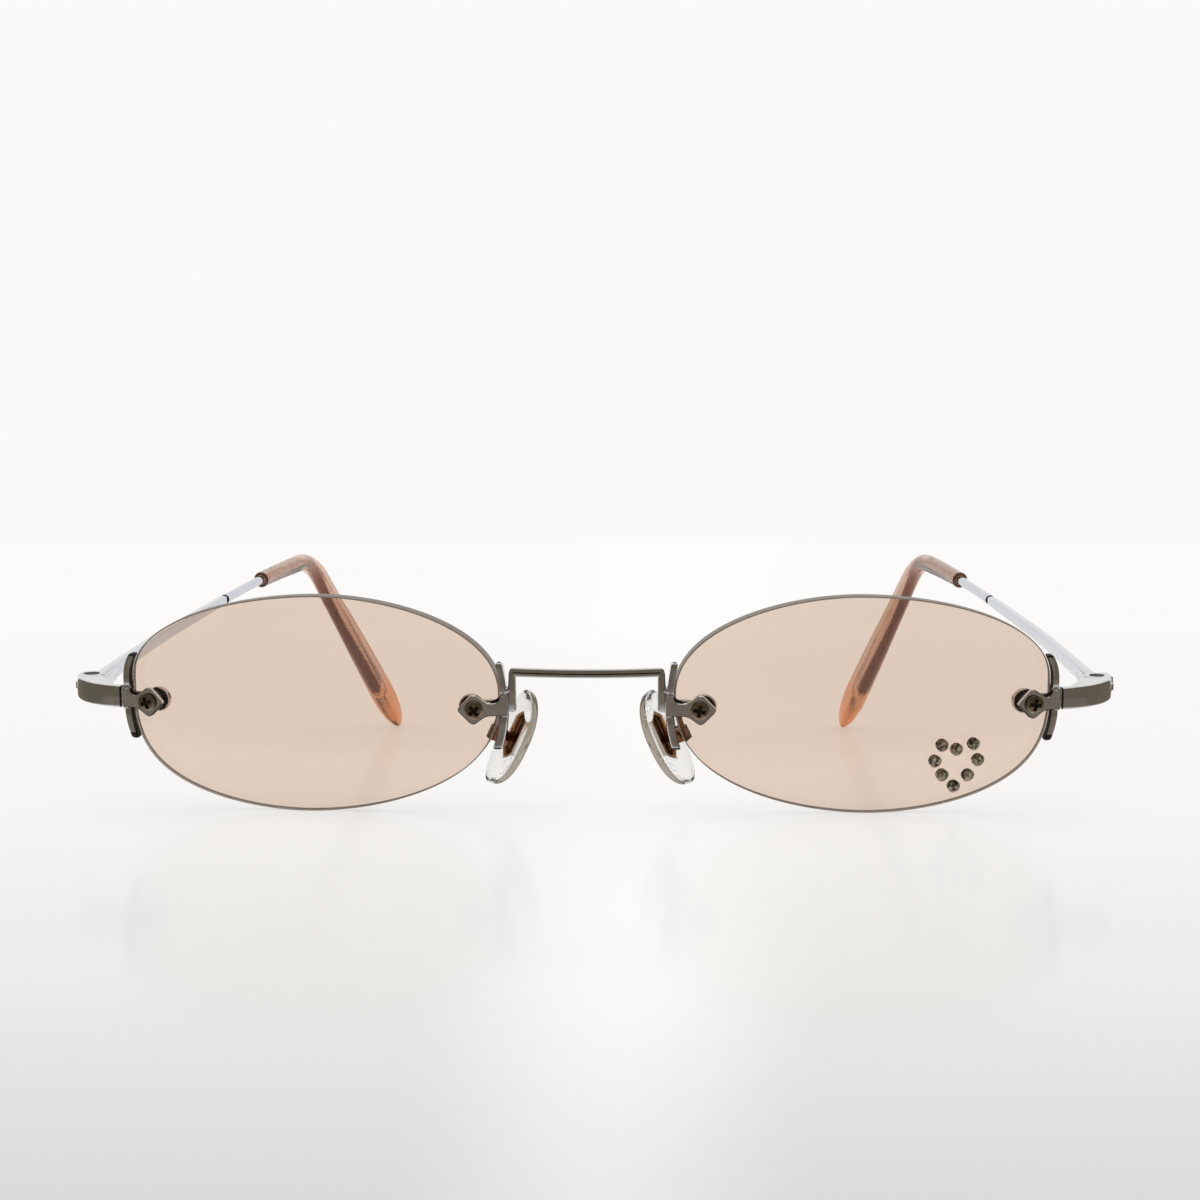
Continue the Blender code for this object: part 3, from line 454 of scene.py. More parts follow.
def linked(name, bm, *materials):
    """An object of this shape."""
    mesh = bpy.data.meshes.new(name)
    bm.to_mesh(mesh)
    bm.free()
    for material in materials:
        mesh.materials.append(material)
    obj = bpy.data.objects.new(name, mesh)
    bpy.context.scene.collection.objects.link(obj)
    return obj


def sharpen(obj, angle=30):
    """Shades the piece smooth but for edges steeper than this many degrees."""
    obj.data.shade_smooth()
    obj.data.set_sharp_from_angle(angle=math.radians(angle))


def place(name, bm, where, side, body, finishes, nodes=(), sharp=30):
    """Links the shape, mirrored for the right side. With a body it is a piece that stands for the nodes."""
    if side < 0:
        bmesh.ops.transform(bm, matrix=MIRROR, verts=bm.verts)
        bmesh.ops.reverse_faces(bm, faces=bm.faces)
        where = MIRROR @ where @ MIRROR
    obj = linked(name, bm, *(FINISHES[finish] for finish in finishes))
    sharpen(obj, sharp)
    obj.data.transform(REST @ where)
    if body:
        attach(obj, body)
        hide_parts(*nodes)
    return obj


def cut(obj, bm, where, side, finish=None):
    """Takes the shape away from a placed piece, for good. The new faces may get a finish of their own."""
    cutter = place("cutter", bm, where, side, None, (finish,) if finish else ())
    step = obj.modifiers.new("cut", "BOOLEAN")
    step.operation = "DIFFERENCE"
    step.object = cutter
    if finish:
        step.material_mode = "TRANSFER"
    graph = bpy.context.evaluated_depsgraph_get()
    made = bpy.data.meshes.new_from_object(obj.evaluated_get(graph))
    whole = obj.data
    obj.modifiers.clear()
    obj.data = made
    bpy.data.meshes.remove(whole)
    made.name = obj.name
    bpy.data.objects.remove(cutter)


def together(name, objects, body, nodes):
    """Makes one piece of several placed ones that share their finishes."""
    bm = bmesh.new()
    finishes = [finish.name for finish in objects[0].data.materials]
    for obj in objects:
        mesh = obj.data
        mesh.transform(REST.inverted())
        bm.from_mesh(mesh)
        bpy.data.objects.remove(obj)
        bpy.data.meshes.remove(mesh)
    place(name, bm, GLASSES, 1, body, finishes, nodes)


# Materials

class Finish:
    """A material, with a few shorthands for its nodes."""

    def __init__(self, name, colour, **values):
        self.material = bpy.data.materials.new(name)
        self.material.use_nodes = True
        self.material.diffuse_color = (*colour, 1)
        self.tree = self.material.node_tree
        self.sockets = self.tree.nodes["Principled BSDF"].inputs
        self.sockets["Base Color"].default_value = (*colour, 1)
        for key, value in values.items():
            self.sockets[key.replace("_", " ")].default_value = value

    def node(self, kind, **values):
        made = self.tree.nodes.new(kind)
        for key, value in values.items():
            made.inputs[key.replace("_", " ")].default_value = value
        return made

    def link(self, out, into):
        self.tree.links.new(out, into)

    def place(self):
        """Where the point lies in the object's own space."""
        return self.node("ShaderNodeTexCoord").outputs["Object"]

    def axes(self):
        split = self.node("ShaderNodeSeparateXYZ")
        self.link(self.place(), split.inputs["Vector"])
        return split.outputs

    def noise(self, scale, detail, stretch=(1, 1, 1)):
        """A noise in the object's own space. One unit of its pattern is 1 / scale metres."""
        squeeze = self.node("ShaderNodeMapping", Scale=stretch)
        made = self.node("ShaderNodeTexNoise", Scale=scale, Detail=detail)
        self.link(self.place(), squeeze.inputs["Vector"])
        self.link(squeeze.outputs["Vector"], made.inputs["Vector"])
        return made.outputs["Fac"]

    def ramp(self, source, stops, tones):
        made = self.node("ShaderNodeValToRGB")
        for point, stop, tone in zip(made.color_ramp.elements, stops, tones):
            point.position = stop
            point.color = (*tone, 1)
        self.link(source, made.inputs["Fac"])
        return made.outputs["Color"]

    def spread(self, source, low, high, first=0.0, last=1.0, kind="SMOOTHSTEP"):
        """Turns the source's values from low to high into values from first to last."""
        made = self.node("ShaderNodeMapRange", From_Min=low, From_Max=high, To_Min=first, To_Max=last)
        made.interpolation_type = kind
        self.link(source, made.inputs["Value"])
        return made.outputs["Result"]

    def mix(self, factor, first, second):
        """A colour between two, each of which is a tone or a socket."""
        made = self.node("ShaderNodeMix")
        made.data_type = "RGBA"
        self.link(factor, made.inputs["Factor"])
        for name, colour in (("A", first), ("B", second)):
            if isinstance(colour, tuple):
                made.inputs[name].default_value = (*colour, 1)
            else:
                self.link(colour, made.inputs[name])
        return made.outputs["Result"]

    def maths(self, kind, *sources):
        made = self.node("ShaderNodeMath")
        made.operation = kind
        for socket, source in zip(made.inputs, sources):
            if isinstance(source, float):
                socket.default_value = source
            else:
                self.link(source, socket)
        return made.outputs["Value"]


def make_finish(name, tones, rough, grain=None, stops=(0.3, 0.7), blends=(), gloss=None, relief=None, **values):
    """A material of two tones that a noise mixes. Its gloss and its relief may follow noises of their own.

    Each blend is (first, second, start, end): two colours along the object's Y, where None is the mixed tone.
    """
    finish = Finish(name, tones[-1], **values)
    if grain:
        colour = finish.ramp(finish.noise(*grain), stops, tones)
        for first, second, start, end in blends:
            along = finish.spread(finish.axes()["Y"], start, end)
            colour = finish.mix(along, first or colour, second or colour)
        finish.link(colour, finish.sockets["Base Color"])
    if gloss:
        shine = finish.spread(finish.noise(*gloss), 0.3, 0.7, *rough, "LINEAR")
        finish.link(shine, finish.sockets["Roughness"])
    else:
        finish.sockets["Roughness"].default_value = rough
    if relief:
        height, *bumps = relief
        bump = finish.node("ShaderNodeBump", Strength=0.3, Distance=height)
        finish.link(finish.noise(*bumps), bump.inputs["Height"])
        finish.link(bump.outputs["Normal"], finish.sockets["Normal"])
    return finish.material


# Gunmetal plating under a clear lacquer: slightly patchy in tone, with fine hairlines
PLATING = {
    "rough": (0.10, 0.16), "grain": (700, 3), "gloss": (5200, 4, (1, 1, 0.35)),
    "relief": (0.000002, 6000, 3, (0.3, 1, 1)), "stops": (0.35, 0.68),
    "Metallic": 1.0, "Coat_Weight": 0.6, "Coat_IOR": 1.5, "Coat_Roughness": 0.05,
}
COPPER = {
    "rough": (0.2, 0.36), "grain": (1200, 3), "gloss": (5000, 3), "relief": (0.000005, 4000, 3),
    "Metallic": 1.0,
}
SILICONE = {"grain": (300, 2), "gloss": (1200, 3), "IOR": 1.42}
LOOKS = {
    "gunmetal_face": {"tones": ((0.48, 0.48, 0.495), (0.55, 0.55, 0.57)), **PLATING},
    "gunmetal_temple": {"tones": ((0.53, 0.56, 0.61), (0.59, 0.62, 0.67)), **PLATING},
    "gunmetal_rim": {"tones": ((0.56, 0.56, 0.58), (0.64, 0.64, 0.66)), **PLATING},
    # Painted shade: dark metal for grooves, screw crosses, hollows and faces that look away from the light, and
    # for a painted dark reflection on the bridge
    "painted_shade_metal": {
        "tones": ((0.018, 0.015, 0.012), (0.05, 0.042, 0.035)), "rough": (0.35, 0.55), "grain": (3000, 3),
        "gloss": (6000, 3), "Metallic": 1.0,
    },
    "screw_bronze": {
        "tones": ((0.16, 0.12, 0.085), (0.33, 0.26, 0.195)), "rough": (0.24, 0.36), "grain": (2200, 3),
        "gloss": (6000, 3), "relief": (0.000004, 6000, 3), "Metallic": 1.0,
    },
    "copper_rim": {"tones": ((0.66, 0.40, 0.27), (0.82, 0.54, 0.38)), **COPPER},
    "copper_core": {"tones": ((0.16, 0.06, 0.02), (0.30, 0.13, 0.05)), **COPPER},
    "copper_arm": {"tones": ((0.16, 0.065, 0.035), (0.26, 0.12, 0.065)), **COPPER},
    # The core wire, dull inside the sleeve and paler near the bend
    "hidden_wire": {
        "tones": ((0.22, 0.078, 0.04), (0.27, 0.095, 0.05)), "rough": 0.4, "grain": (150, 2),
        "blends": ((PALE_WIRE, None, PALE_WIRE_TO, BROWN_WIRE_FROM),), "Metallic": 1.0,
    },
    "lens_tint": {
        "tones": ((0.797, 0.651, 0.552), (0.803, 0.659, 0.562)), "rough": (0.0, 0.008), "grain": (60, 2),
        "gloss": (900, 5), "IOR": 1.5, "Transmission_Weight": 1.0,
    },
    # The ground rim of the lens
    "lens_edge": {
        "tones": ((0.08, 0.058, 0.04), (0.10, 0.075, 0.053)), "rough": 0.35, "grain": (1200, 2),
        "relief": (0.000004, 5000, 2), "IOR": 1.5, "Transmission_Weight": 0.6, "Specular_IOR_Level": 0.3,
    },
    # The wall of a drilled hole: painted shade, dark with what lies behind it
    "bore_painted_shade": {"tones": ((0.022, 0.013, 0.009), (0.04, 0.025, 0.017)), "rough": 0.4, "grain": (2500, 2)},
    "bushing_clear": {
        "tones": ((0.93, 0.92, 0.9),), "rough": (0.05, 0.15), "gloss": (3000, 3), "IOR": 1.46,
        "Transmission_Weight": 1.0,
    },
    "pad_silicone": {
        "tones": ((0.93, 0.93, 0.92), (0.97, 0.97, 0.96)), "rough": (0.03, 0.08),
        "Transmission_Weight": 0.95, **SILICONE,
    },
    # The cushion's painted shade: a dark band along one edge
    "pad_silicone_painted_shade": {
        "tones": ((0.19, 0.155, 0.11), (0.26, 0.215, 0.155)), "rough": (0.05, 0.12),
        "Transmission_Weight": 0.75, **SILICONE,
    },
    # The sleeve's moulded skin: brown over the wire, and amber towards its end, a painted glow of light through
    # the plastic past the wire
    "tip_brown": {
        "tones": ((0.66, 0.40, 0.29), (0.72, 0.44, 0.32)), "rough": (0.08, 0.13),
        "grain": (120, 2, (1, 0.3, 1)), "gloss": (300, 2),
        "blends": ((None, PAINTED_GLOW, PAINTED_GLOW_FROM, PAINTED_GLOW_TO), (PALE_BROWN, None, PALE_TO, BROWN_FROM)),
        "IOR": 1.45, "Transmission_Weight": 1.0,
    },
    # The sleeve's thick lip, painted a deeper tone where light runs along its wall
    "tip_mouth": {
        "tones": ((0.13, 0.045, 0.025), (0.19, 0.07, 0.038)), "rough": (0.25, 0.35), "grain": (900, 2),
        "gloss": (2500, 3), "IOR": 1.47, "Transmission_Weight": 0.3,
    },
    "stone_smoked": {
        "tones": ((0.03, 0.027, 0.022), (0.45, 0.37, 0.26)), "rough": 0.05, "grain": (2300, 3),
        "stops": (0.4, 0.64), "IOR": 1.6, "Metallic": 0.8,
    },
}
FINISHES = {name: make_finish(name, **look) for name, look in LOOKS.items()}
METAL = ("gunmetal_face", "gunmetal_rim", "painted_shade_metal")
TEMPLE_METAL = ("gunmetal_temple", "painted_shade_metal", "hidden_wire")


# Lens geometry

LENS_ORIGIN = Vector((
    BRIDGE_SPACE / 2 + math.cos(LENS_WRAP) * LENS_WIDTH / 2,
    math.sin(LENS_WRAP) * LENS_WIDTH / 2,
    0,
))
LENS_FRAME = Matrix.Translation(LENS_ORIGIN) @ Matrix.Rotation(LENS_WRAP, 4, "Z")


def quarter_sizes(end, top):
    """(tallest U, widest Z, half width, half height) of one quarter of the outline."""
    tallest = CROWN_U if top else BELLY_U
    widest = WIDEST_Z[end]
    half_height = LENS_HEIGHT / 2 - widest if top else LENS_HEIGHT / 2 + widest
    return tallest, widest, LENS_WIDTH / 2 - end * tallest, half_height


def side_power(end, top):
    return TOP_POWER if top else BOTTOM_POWERS[end]


def outline_point(angle):
    """(U, Z) on the lens's outline."""
    c, s = math.cos(angle), math.sin(angle)
    end, top = (TEMPORAL if c > 0 else NASAL), s > 0
    tallest, widest, half_width, half_height = quarter_sizes(end, top)
    u = tallest + end * half_width * abs(c) ** CROWN_POWER
    z = widest + math.copysign(half_height * abs(s) ** side_power(end, top), s)
    return u, z


def even_outline(count):
    """The outline cut into stretches of equal length."""
    fine = 4000
    dense = np.array([outline_point(2 * math.pi * i / fine) for i in range(fine + 1)])
    walked = np.concatenate([[0], np.cumsum(np.linalg.norm(np.diff(dense, axis=0), axis=1))])
    marks = np.linspace(0, walked[-1], count, endpoint=False)
    return [tuple(float(np.interp(mark, walked, line)) for line in dense.T) for mark in marks]


def edge_u(z, end):
    """U on the outline at a height, at one end of the lens."""
    top = z > WIDEST_Z[end]
    tallest, widest, half_width, half_height = quarter_sizes(end, top)
    s = (abs(z - widest) / half_height) ** (1 / side_power(end, top))
    return tallest + end * half_width * math.sqrt(max(0.0, 1 - s * s)) ** CROWN_POWER


def surface_y(u, z, depth):
    """Y of the surface that lies this deep in the lens."""
    radius = LENS_FRONT_RADIUS - depth
    return LENS_FRONT_RADIUS - math.sqrt(radius ** 2 - u * u - z * z)


def surface_frame(u, z):
    """Frame on the lens's front: X towards the temple, Y into the lens, square to it, Z up."""
    point = Vector((u, surface_y(u, z, 0), z))
    inward = (Vector((0, LENS_FRONT_RADIUS, 0)) - point).normalized()
    across = inward.cross(UP).normalized()
    up = across.cross(inward)
    turn = Matrix((across, inward, up)).transposed().to_4x4()
    return LENS_FRAME @ Matrix.Translation(point) @ turn


def mount_frame(end):
    return surface_frame(end * (LENS_WIDTH / 2 - SCREW_INSETS[end]), SCREW_Z)


# Lenses

def lens_body():
    """The curved sheet, with a ground and chamfered edge that has its own material."""
    outline = even_outline(LENS_STEPS)
    shrunk = inset(outline, LENS_CHAMFER)
    bm = bmesh.new()

    def ring(flat, share, depth):
        return [bm.verts.new((u * share, surface_y(u * share, z * share, depth), z * share)) for u, z in flat]

    def band(near, far, number):
        for i in range(LENS_STEPS):
            j = (i + 1) % LENS_STEPS
            face = bm.faces.new((near[i], far[i], far[j], near[j]))
            face.material_index = number

    sheets = []
    for depth in (0, LENS_THICKNESS):
        centre = bm.verts.new((0, surface_y(0, 0, depth), 0))
        rings = [ring(shrunk, k / LENS_RINGS, depth) for k in range(1, LENS_RINGS + 1)]
        for i in range(LENS_STEPS):
            bm.faces.new((centre, rings[0][i], rings[0][(i + 1) % LENS_STEPS]))
        for near, far in zip(rings, rings[1:]):
            band(near, far, 0)
        sheets.append(rings[-1])
    edge = [ring(outline, 1, depth) for depth in (LENS_CHAMFER, LENS_THICKNESS - LENS_CHAMFER)]
    loops = [sheets[0], *edge, sheets[1]]
    for near, far in zip(loops, loops[1:]):
        band(near, far, 1)
    bmesh.ops.recalc_face_normals(bm, faces=bm.faces)
    return bm


def make_lens(side_name):
    side = SIDES[side_name]
    lens = place(
        f"{side_name}_lens_sheet", lens_body(), LENS_FRAME, side, "front",
        ("lens_tint", "lens_edge"), [f"{side_name}_lens"],
    )
    hole = BUSHING_RADIUS + SEAT_GAP
    for end in (TEMPORAL, NASAL):
        drill = turned([(hole, -LENS_THICKNESS), (hole, 2 * LENS_THICKNESS)])
        # The hole's wall gets painted shade.
        cut(lens, drill, mount_frame(end), side, "bore_painted_shade")
    if side_name == "left":
        wide = STONE_RADIUS + SEAT_GAP
        for where in stone_frames():
            cut(lens, turned([(wide, -LENS_THICKNESS), (wide, STONE_SINK + SEAT_GAP)], 32), where, side)
    sharpen(lens, 25)


def stone_frames():
    return [surface_frame(HEART_U + du, HEART_Z + dz) for du, dz in HEART_STONES]


def stone_body():
    """A flat table, a ring of kites and a belt of small facets over the girdle."""
    sides = 12
    levels = (
        (circle(STONE_TABLE, sides), -STONE_RISE),
        (circle(STONE_RADIUS * 0.80, sides, math.pi / sides), -STONE_RISE * 0.45),
        (circle(STONE_RADIUS, sides), 0.0),
        (circle(STONE_RADIUS, sides), STONE_SINK),
    )
    bm = bmesh.new()
    loops = [[bm.verts.new((a, y, b)) for a, b in ring] for ring, y in levels]
    table, middle, girdle, floor = loops
    bm.faces.new(table)
    bm.faces.new(floor)
    for i in range(sides):
        j = (i + 1) % sides
        bm.faces.new((table[i], table[j], middle[i]))
        bm.faces.new((table[j], middle[j], middle[i]))
        bm.faces.new((middle[i], girdle[i], girdle[j]))
        bm.faces.new((middle[i], girdle[j], middle[j]))
        bm.faces.new((girdle[i], girdle[j], floor[j], floor[i]))
    bmesh.ops.recalc_face_normals(bm, faces=bm.faces)
    return bm


def make_stones():
    for number, where in enumerate(stone_frames(), 1):
        turn = Matrix.Rotation(number * STONE_TURN, 4, "Y")
        stone = place(
            f"heart_stone_{number}_cut", stone_body(), where @ turn, 1, "front",
            ("stone_smoked",), [f"heart_stone_{number}"], sharp=1,
        )
        stone.data.shade_flat()


def make_lens_screw(side_name, end, word):
    side = SIDES[side_name]
    where = mount_frame(end)
    outer, inner = BUSHING_RADIUS, BUSHING_RADIUS - BUSHING_WALL
    bushing = turned([
        (outer, 0), (outer, LENS_THICKNESS), (inner, LENS_THICKNESS), (inner, 0), (outer, 0),
    ], caps=False)
    bmesh.ops.remove_doubles(bushing, verts=bushing.verts, dist=1e-7)
    place(f"{side_name}_{word}_sleeve", bushing, where, side, "front", ("bushing_clear",),
          [f"{side_name}_{word}_bushing"])
    under = -2 * SEAT_GAP - STRAP_THICKNESS
    top = under - SCREW_HEAD_HEIGHT
    far_end = LENS_THICKNESS + SEAT_GAP + STRAP_THICKNESS + SCREW_END
    screw = place(
        f"{side_name}_{word}_cross_screw",
        turned([
            *((SCREW_HEAD_RADIUS * wide, top + drop) for wide, drop in SCREW_HEAD_PROFILE),
            (SCREW_HEAD_RADIUS, under), (SCREW_SHANK_RADIUS, under),
            (SCREW_SHANK_RADIUS, far_end - EDGE_SOFT), (SCREW_SHANK_RADIUS * 0.8, far_end),
        ], 48),
        where, side, "front", ("screw_bronze",), [f"{side_name}_{word}_lens_screw"],
    )
    half, wide = CROSS_LENGTH / 2, CROSS_WIDTH / 2
    cross = [
        (half, -wide), (half, wide), (wide, wide), (wide, half), (-wide, half), (-wide, wide),
        (-half, wide), (-half, -wide), (-wide, -wide), (-wide, -half), (wide, -half), (wide, -wide),
    ]
    recess = prism(cross, top - CROSS_DEPTH, top + CROSS_DEPTH, along_y)
    turn = Matrix.Rotation(CROSS_TURNS[side_name][end], 4, "Y")
    # The cross recess gets painted shade.
    cut(screw, recess, where @ turn, side, "painted_shade_metal")
    sharpen(screw)


# Lens mounts

def brace_u(z, end):
    """U of the brace's side towards the lens. At the temple it follows the lens's edge."""
    if end == TEMPORAL:
        return edge_u(z, end) + BRACE_GAP
    bow = (z - SCREW_Z) ** 2 / (2 * NASAL_BRACE_RADIUS)
    return -LENS_WIDTH / 2 - BRACE_GAP + bow * (NASAL_LEAN if z < SCREW_Z else 1)


def brace_lip(z):
    """How far the brace stands in front of the lens: less where the front strap crosses it."""
    past = abs(z - ENDPIECE_Z) - BLOCK_HEIGHT / 2
    share = min(1.0, max(0.0, past / BRACE_LIP_RISE))
    return STRAP_LIP + (BRACE_LIP - STRAP_LIP) * share


def brace_body(end):
    """The bar along the lens's edge, with round edges and trimmed ends."""
    bottom, top = BRACE_ENDS[end]
    low_width, high_width = BRACE_WIDTHS[end]
    steps, soft = 28, BRACE_SOFT
    heights = [bottom + (top - bottom) * k / steps for k in range(steps + 1)]
    heights = [bottom, bottom + soft * 0.35, bottom + soft, *heights[2:-2], top - soft, top - soft * 0.35, top]
    trims = {0: soft, 1: soft * 0.3, len(heights) - 2: soft * 0.3, len(heights) - 1: soft}
    rings = []
    for k, z in enumerate(heights):
        share = (z - bottom) / (top - bottom)
        width = low_width + (high_width - low_width) * share
        trim = trims.get(k, 0)
        inner = brace_u(z, end)
        front = surface_y(edge_u(z, end), z, 0) - brace_lip(z)
        centre = Vector((inner + end * width / 2, front + BRACE_DEPTH / 2, z))
        corner = BRACE_CORNER - trim * 0.3
        rings.append(section((centre, ACROSS, BACK), width / 2 - trim * 0.7, BRACE_DEPTH / 2 - trim, corner))
    bm = loft(rings)
    # Painted shade: the brace's side towards the lens, the cap at the top of the temporal brace and its feet
    # get the dark finish.
    cap_from = top - BRACE_SHADED_CAP if end == TEMPORAL else top
    for face in bm.faces:
        inside = face.normal.x * end < -0.5
        height = face.calc_center_median().z
        if inside or height > cap_from or height < bottom + BRACE_SHADED_FEET[end]:
            face.material_index = 2
    return bm


def block_inner(end):
    return end * (LENS_WIDTH / 2 + BRACE_GAP)


def block_back(end):
    return surface_y(LENS_WIDTH / 2, 0, LENS_THICKNESS) + SEAT_GAP + STRAP_THICKNESS * 0.95


def block_body(end):
    low, high = sorted((block_inner(end), block_inner(end) + end * BLOCK_WIDTH))
    front = surface_y(LENS_WIDTH / 2, 0, 0) - BRACE_LIP * 0.6
    half = BLOCK_HEIGHT / 2
    return block((low, front, ENDPIECE_Z - half), (high, block_back(end), ENDPIECE_Z + half))


def strap_reach(end):
    """From the screw to the middle of the block."""
    return SCREW_INSETS[end] + BRACE_GAP + BLOCK_WIDTH / 2


def spade_outline(end):
    """A pointed plate on a neck that widens into the plate over the brace."""
    reach, neck = strap_reach(end), NECK_HEIGHT / 2
    far, near = reach + BLOCK_WIDTH / 2, reach - BLOCK_WIDTH / 2
    high = ENDPIECE_Z - SCREW_Z + BLOCK_HEIGHT / 2
    half, tip = SPADE_HALF_HEIGHT, -SPADE_POINT
    corners = [
        (far, high, 0.0002), (near, high, 0.0002), (near, neck + 0.0004, 0.0003),
        (reach - 0.0010, neck, 0.0005), (0.0015, neck, 0.0006),
        (0.0001, half, 0.00035), (-0.0004, half - 0.0001, 0.0003),
        (tip + 0.0002, 0.0003, 0.0003), (tip, 0, 0.0001), (tip + 0.0002, -0.0003, 0.0003),
        (-0.0004, -half + 0.0001, 0.0003), (0.0001, -half, 0.00035),
        (0.0015, -neck, 0.0006), (far, -neck, 0.0002),
    ]
    return rounded([(end * a, b) for a, b, size in corners], [size for a, b, size in corners], 3)


def shade_patch_outline(end):
    """A patch of painted shade between brace and neck, just behind the front plate: a dark sheet where there is
    only shade.
    """
    start, neck = strap_reach(end) - BLOCK_WIDTH / 2, NECK_HEIGHT / 2
    corners = [
        (start + 0.0003, neck + 0.0008), (start - 0.0001, neck + 0.0008), (start - 0.0005, neck + 0.0004),
        (start - 0.0012, neck + 0.00025), (start - 0.0012, neck - 0.0002), (start + 0.0003, neck - 0.0002),
    ]
    return rounded([(end * a, b) for a, b in corners], 0.0003, 4)


def disc_outline(end):
    reach, neck = strap_reach(end), NECK_HEIGHT / 2
    first, turns = math.asin(neck / REAR_DISC_RADIUS), 32
    outline = [(reach, -neck), (reach, neck)]
    for k in range(turns + 1):
        angle = first + (2 * math.pi - 2 * first) * k / turns
        across, up = REAR_DISC_RADIUS * math.cos(angle), REAR_DISC_RADIUS * math.sin(angle)
        outline.append((across - REAR_DISC_SHIFT, up))
    return [(end * a, b) for a, b in outline]


def solder_lumps(end):
    """Small lumps where brace, block and straps are soldered together."""
    front = surface_y(LENS_WIDTH / 2, 0, 0) - BRACE_LIP
    middle = block_inner(end) + end * BLOCK_WIDTH / 2
    half = BLOCK_HEIGHT / 2
    lumps = []
    for z, dx, size in ((ENDPIECE_Z + half, -0.1, 0.00034), (ENDPIECE_Z - half, 0.1, 0.0003)):
        centre = Vector((middle + end * dx * BLOCK_WIDTH, front + 0.0004, z))
        lumps.append(blob(centre, Vector((size * 1.3, size, size * 1.2))))
    return lumps


def to_lens(bm, end):
    """Moves a shape from the mount's frame into the lens's."""
    bmesh.ops.transform(bm, matrix=LENS_FRAME.inverted() @ mount_frame(end), verts=bm.verts)
    return bm


def make_mount(side_name, end, word):
    front = plate(spade_outline(end), -SEAT_GAP - STRAP_THICKNESS, -SEAT_GAP, along_y, FRONT_BEVEL)
    for face in front.faces:
        # Painted light on the rim: the lighter rim finish as a painted highlight where it looks up, and painted
        # shade where it looks down.
        if abs(face.normal.z) > 0.3:
            face.material_index = 1 if face.normal.z > 0 else 2
    low = LENS_THICKNESS + SEAT_GAP
    rear = plate(disc_outline(end), low, low + STRAP_THICKNESS, along_y)
    # Painted shade on the rear disc's side that faces the lens.
    for face in rear.faces:
        if face.calc_center_median().y < low + RIM_BEVEL / 4:
            face.material_index = 2
    # A thin dark sheet of painted shade behind the front plate.
    shade_patch = plate(shade_patch_outline(end), -SEAT_GAP - STRAP_THICKNESS * 0.85, -SEAT_GAP, along_y)
    paint(shade_patch, 0, len(shade_patch.faces), 2)
    plates = [to_lens(bm, end) for bm in (front, rear, shade_patch)]
    shape = merged([brace_body(end), block_body(end), *plates, *solder_lumps(end)])
    place(f"{side_name}_{word}_mount_metal", shape, LENS_FRAME, SIDES[side_name], "front", METAL,
          [f"{side_name}_{word}_mount"])


def block_place(end, z, depth):
    """A point of the block's outer side, in the frame of the glasses."""
    outer = block_inner(end) + end * BLOCK_WIDTH
    return LENS_FRAME @ Vector((outer, surface_y(LENS_WIDTH / 2, 0, 0) + depth, z))


# Bridge

def make_bridge():
    """The bar with its rounded ends, two posts that widen to their feet, and the solder at the braces."""
    side_face = block_place(NASAL, 0, 0)
    post_x = side_face.x - SEAT_GAP - POST_TOP
    y = side_face.y + BRIDGE_DEPTH
    end_x = post_x - 0.0001
    steps, cap_steps = 40, 6
    points, sizes = [], []
    for k in range(cap_steps):
        angle = math.pi / 2 * k / cap_steps
        points.append(Vector((-end_x - BAR_RADIUS * math.cos(angle), y, BRIDGE_Z)))
        sizes.append(BAR_RADIUS * max(0.05, math.sin(angle)))
    for k in range(steps + 1):
        share = 2 * k / steps - 1
        points.append(Vector((end_x * share, y - BRIDGE_BOW * (1 - share ** 2), BRIDGE_Z)))
        sizes.append(BAR_RADIUS)
    points += [Vector((-p.x, p.y, p.z)) for p in reversed(points[:cap_steps])]
    sizes += list(reversed(sizes[:cap_steps]))
    rings = []
    for point, size in zip(points, sizes):
        front = [point + Vector((0, -size * BAR_FLATNESS, b * size)) for b in BAR_FACETS]
        rings.append(section((point, -BACK, UP), size * BAR_FLATNESS, size, size * 0.5) + front)
    bar = loft(rings)
    count = len(rings[0])
    # A painted dark reflection along the middle of the bar's flat front.
    for k in range(cap_steps, len(rings) - cap_steps):
        paint(bar, k * count - 3, k * count - 2, 2)
    bodies = [bar]
    top, foot, soft = BRIDGE_Z + BAR_RADIUS * 0.45, BRIDGE_FOOT_Z, POST_SOFT
    for side in (-1, 1):
        rings = []
        levels = (
            (foot, soft), (foot + soft * 0.3, soft * 0.4), (foot + soft, 0.0), ((foot + top) / 2, 0.0),
            (top - soft, 0.0), (top - soft * 0.3, soft * 0.4), (top, soft),
        )
        for z, trim in levels:
            share = (top - z) / (top - foot)
            half = POST_TOP + (POST_FOOT - POST_TOP) * share
            centre = Vector((side * (post_x + 0.00005 + 0.0001 * share), y, z))
            corner = POST_SOFT - trim * 0.5
            rings.append(section((centre, ACROSS, BACK), half - trim, BRIDGE_RADIUS - trim, corner))
        bodies.append(loft(rings))
        low_x, high_x = sorted((side * post_x, side * (side_face.x + 0.0003)))
        bodies.append(block((low_x, y - 0.0003, foot + 0.0004), (high_x, y + 0.0003, SOLDER_TOP), EDGE_SOFT))
        lump_at = Vector((side * (side_face.x + 0.0002), side_face.y - STRAP_LIP, SOLDER_TOP - 0.0004))
        bodies.append(blob(lump_at, Vector((0.0004, 0.0003, 0.00035))))
    place("bridge_wire", merged(bodies), GLASSES, 1, "front", METAL, ["bridge"])


# Nose pads

def pad_frame():
    """Frame on the pad's screw: X away from the nose, Y along the screw, Z up the pad."""
    up = Vector((-math.sin(PAD_LEAN), 0, math.cos(PAD_LEAN)))
    width = Vector((math.sin(PAD_FLARE), math.cos(PAD_FLARE), 0))
    width = (width - width.dot(up) * up).normalized()
    away = width.cross(up)
    turn = Matrix((away, width, up)).transposed().to_4x4()
    return Matrix.Translation(PAD_PIVOT) @ turn


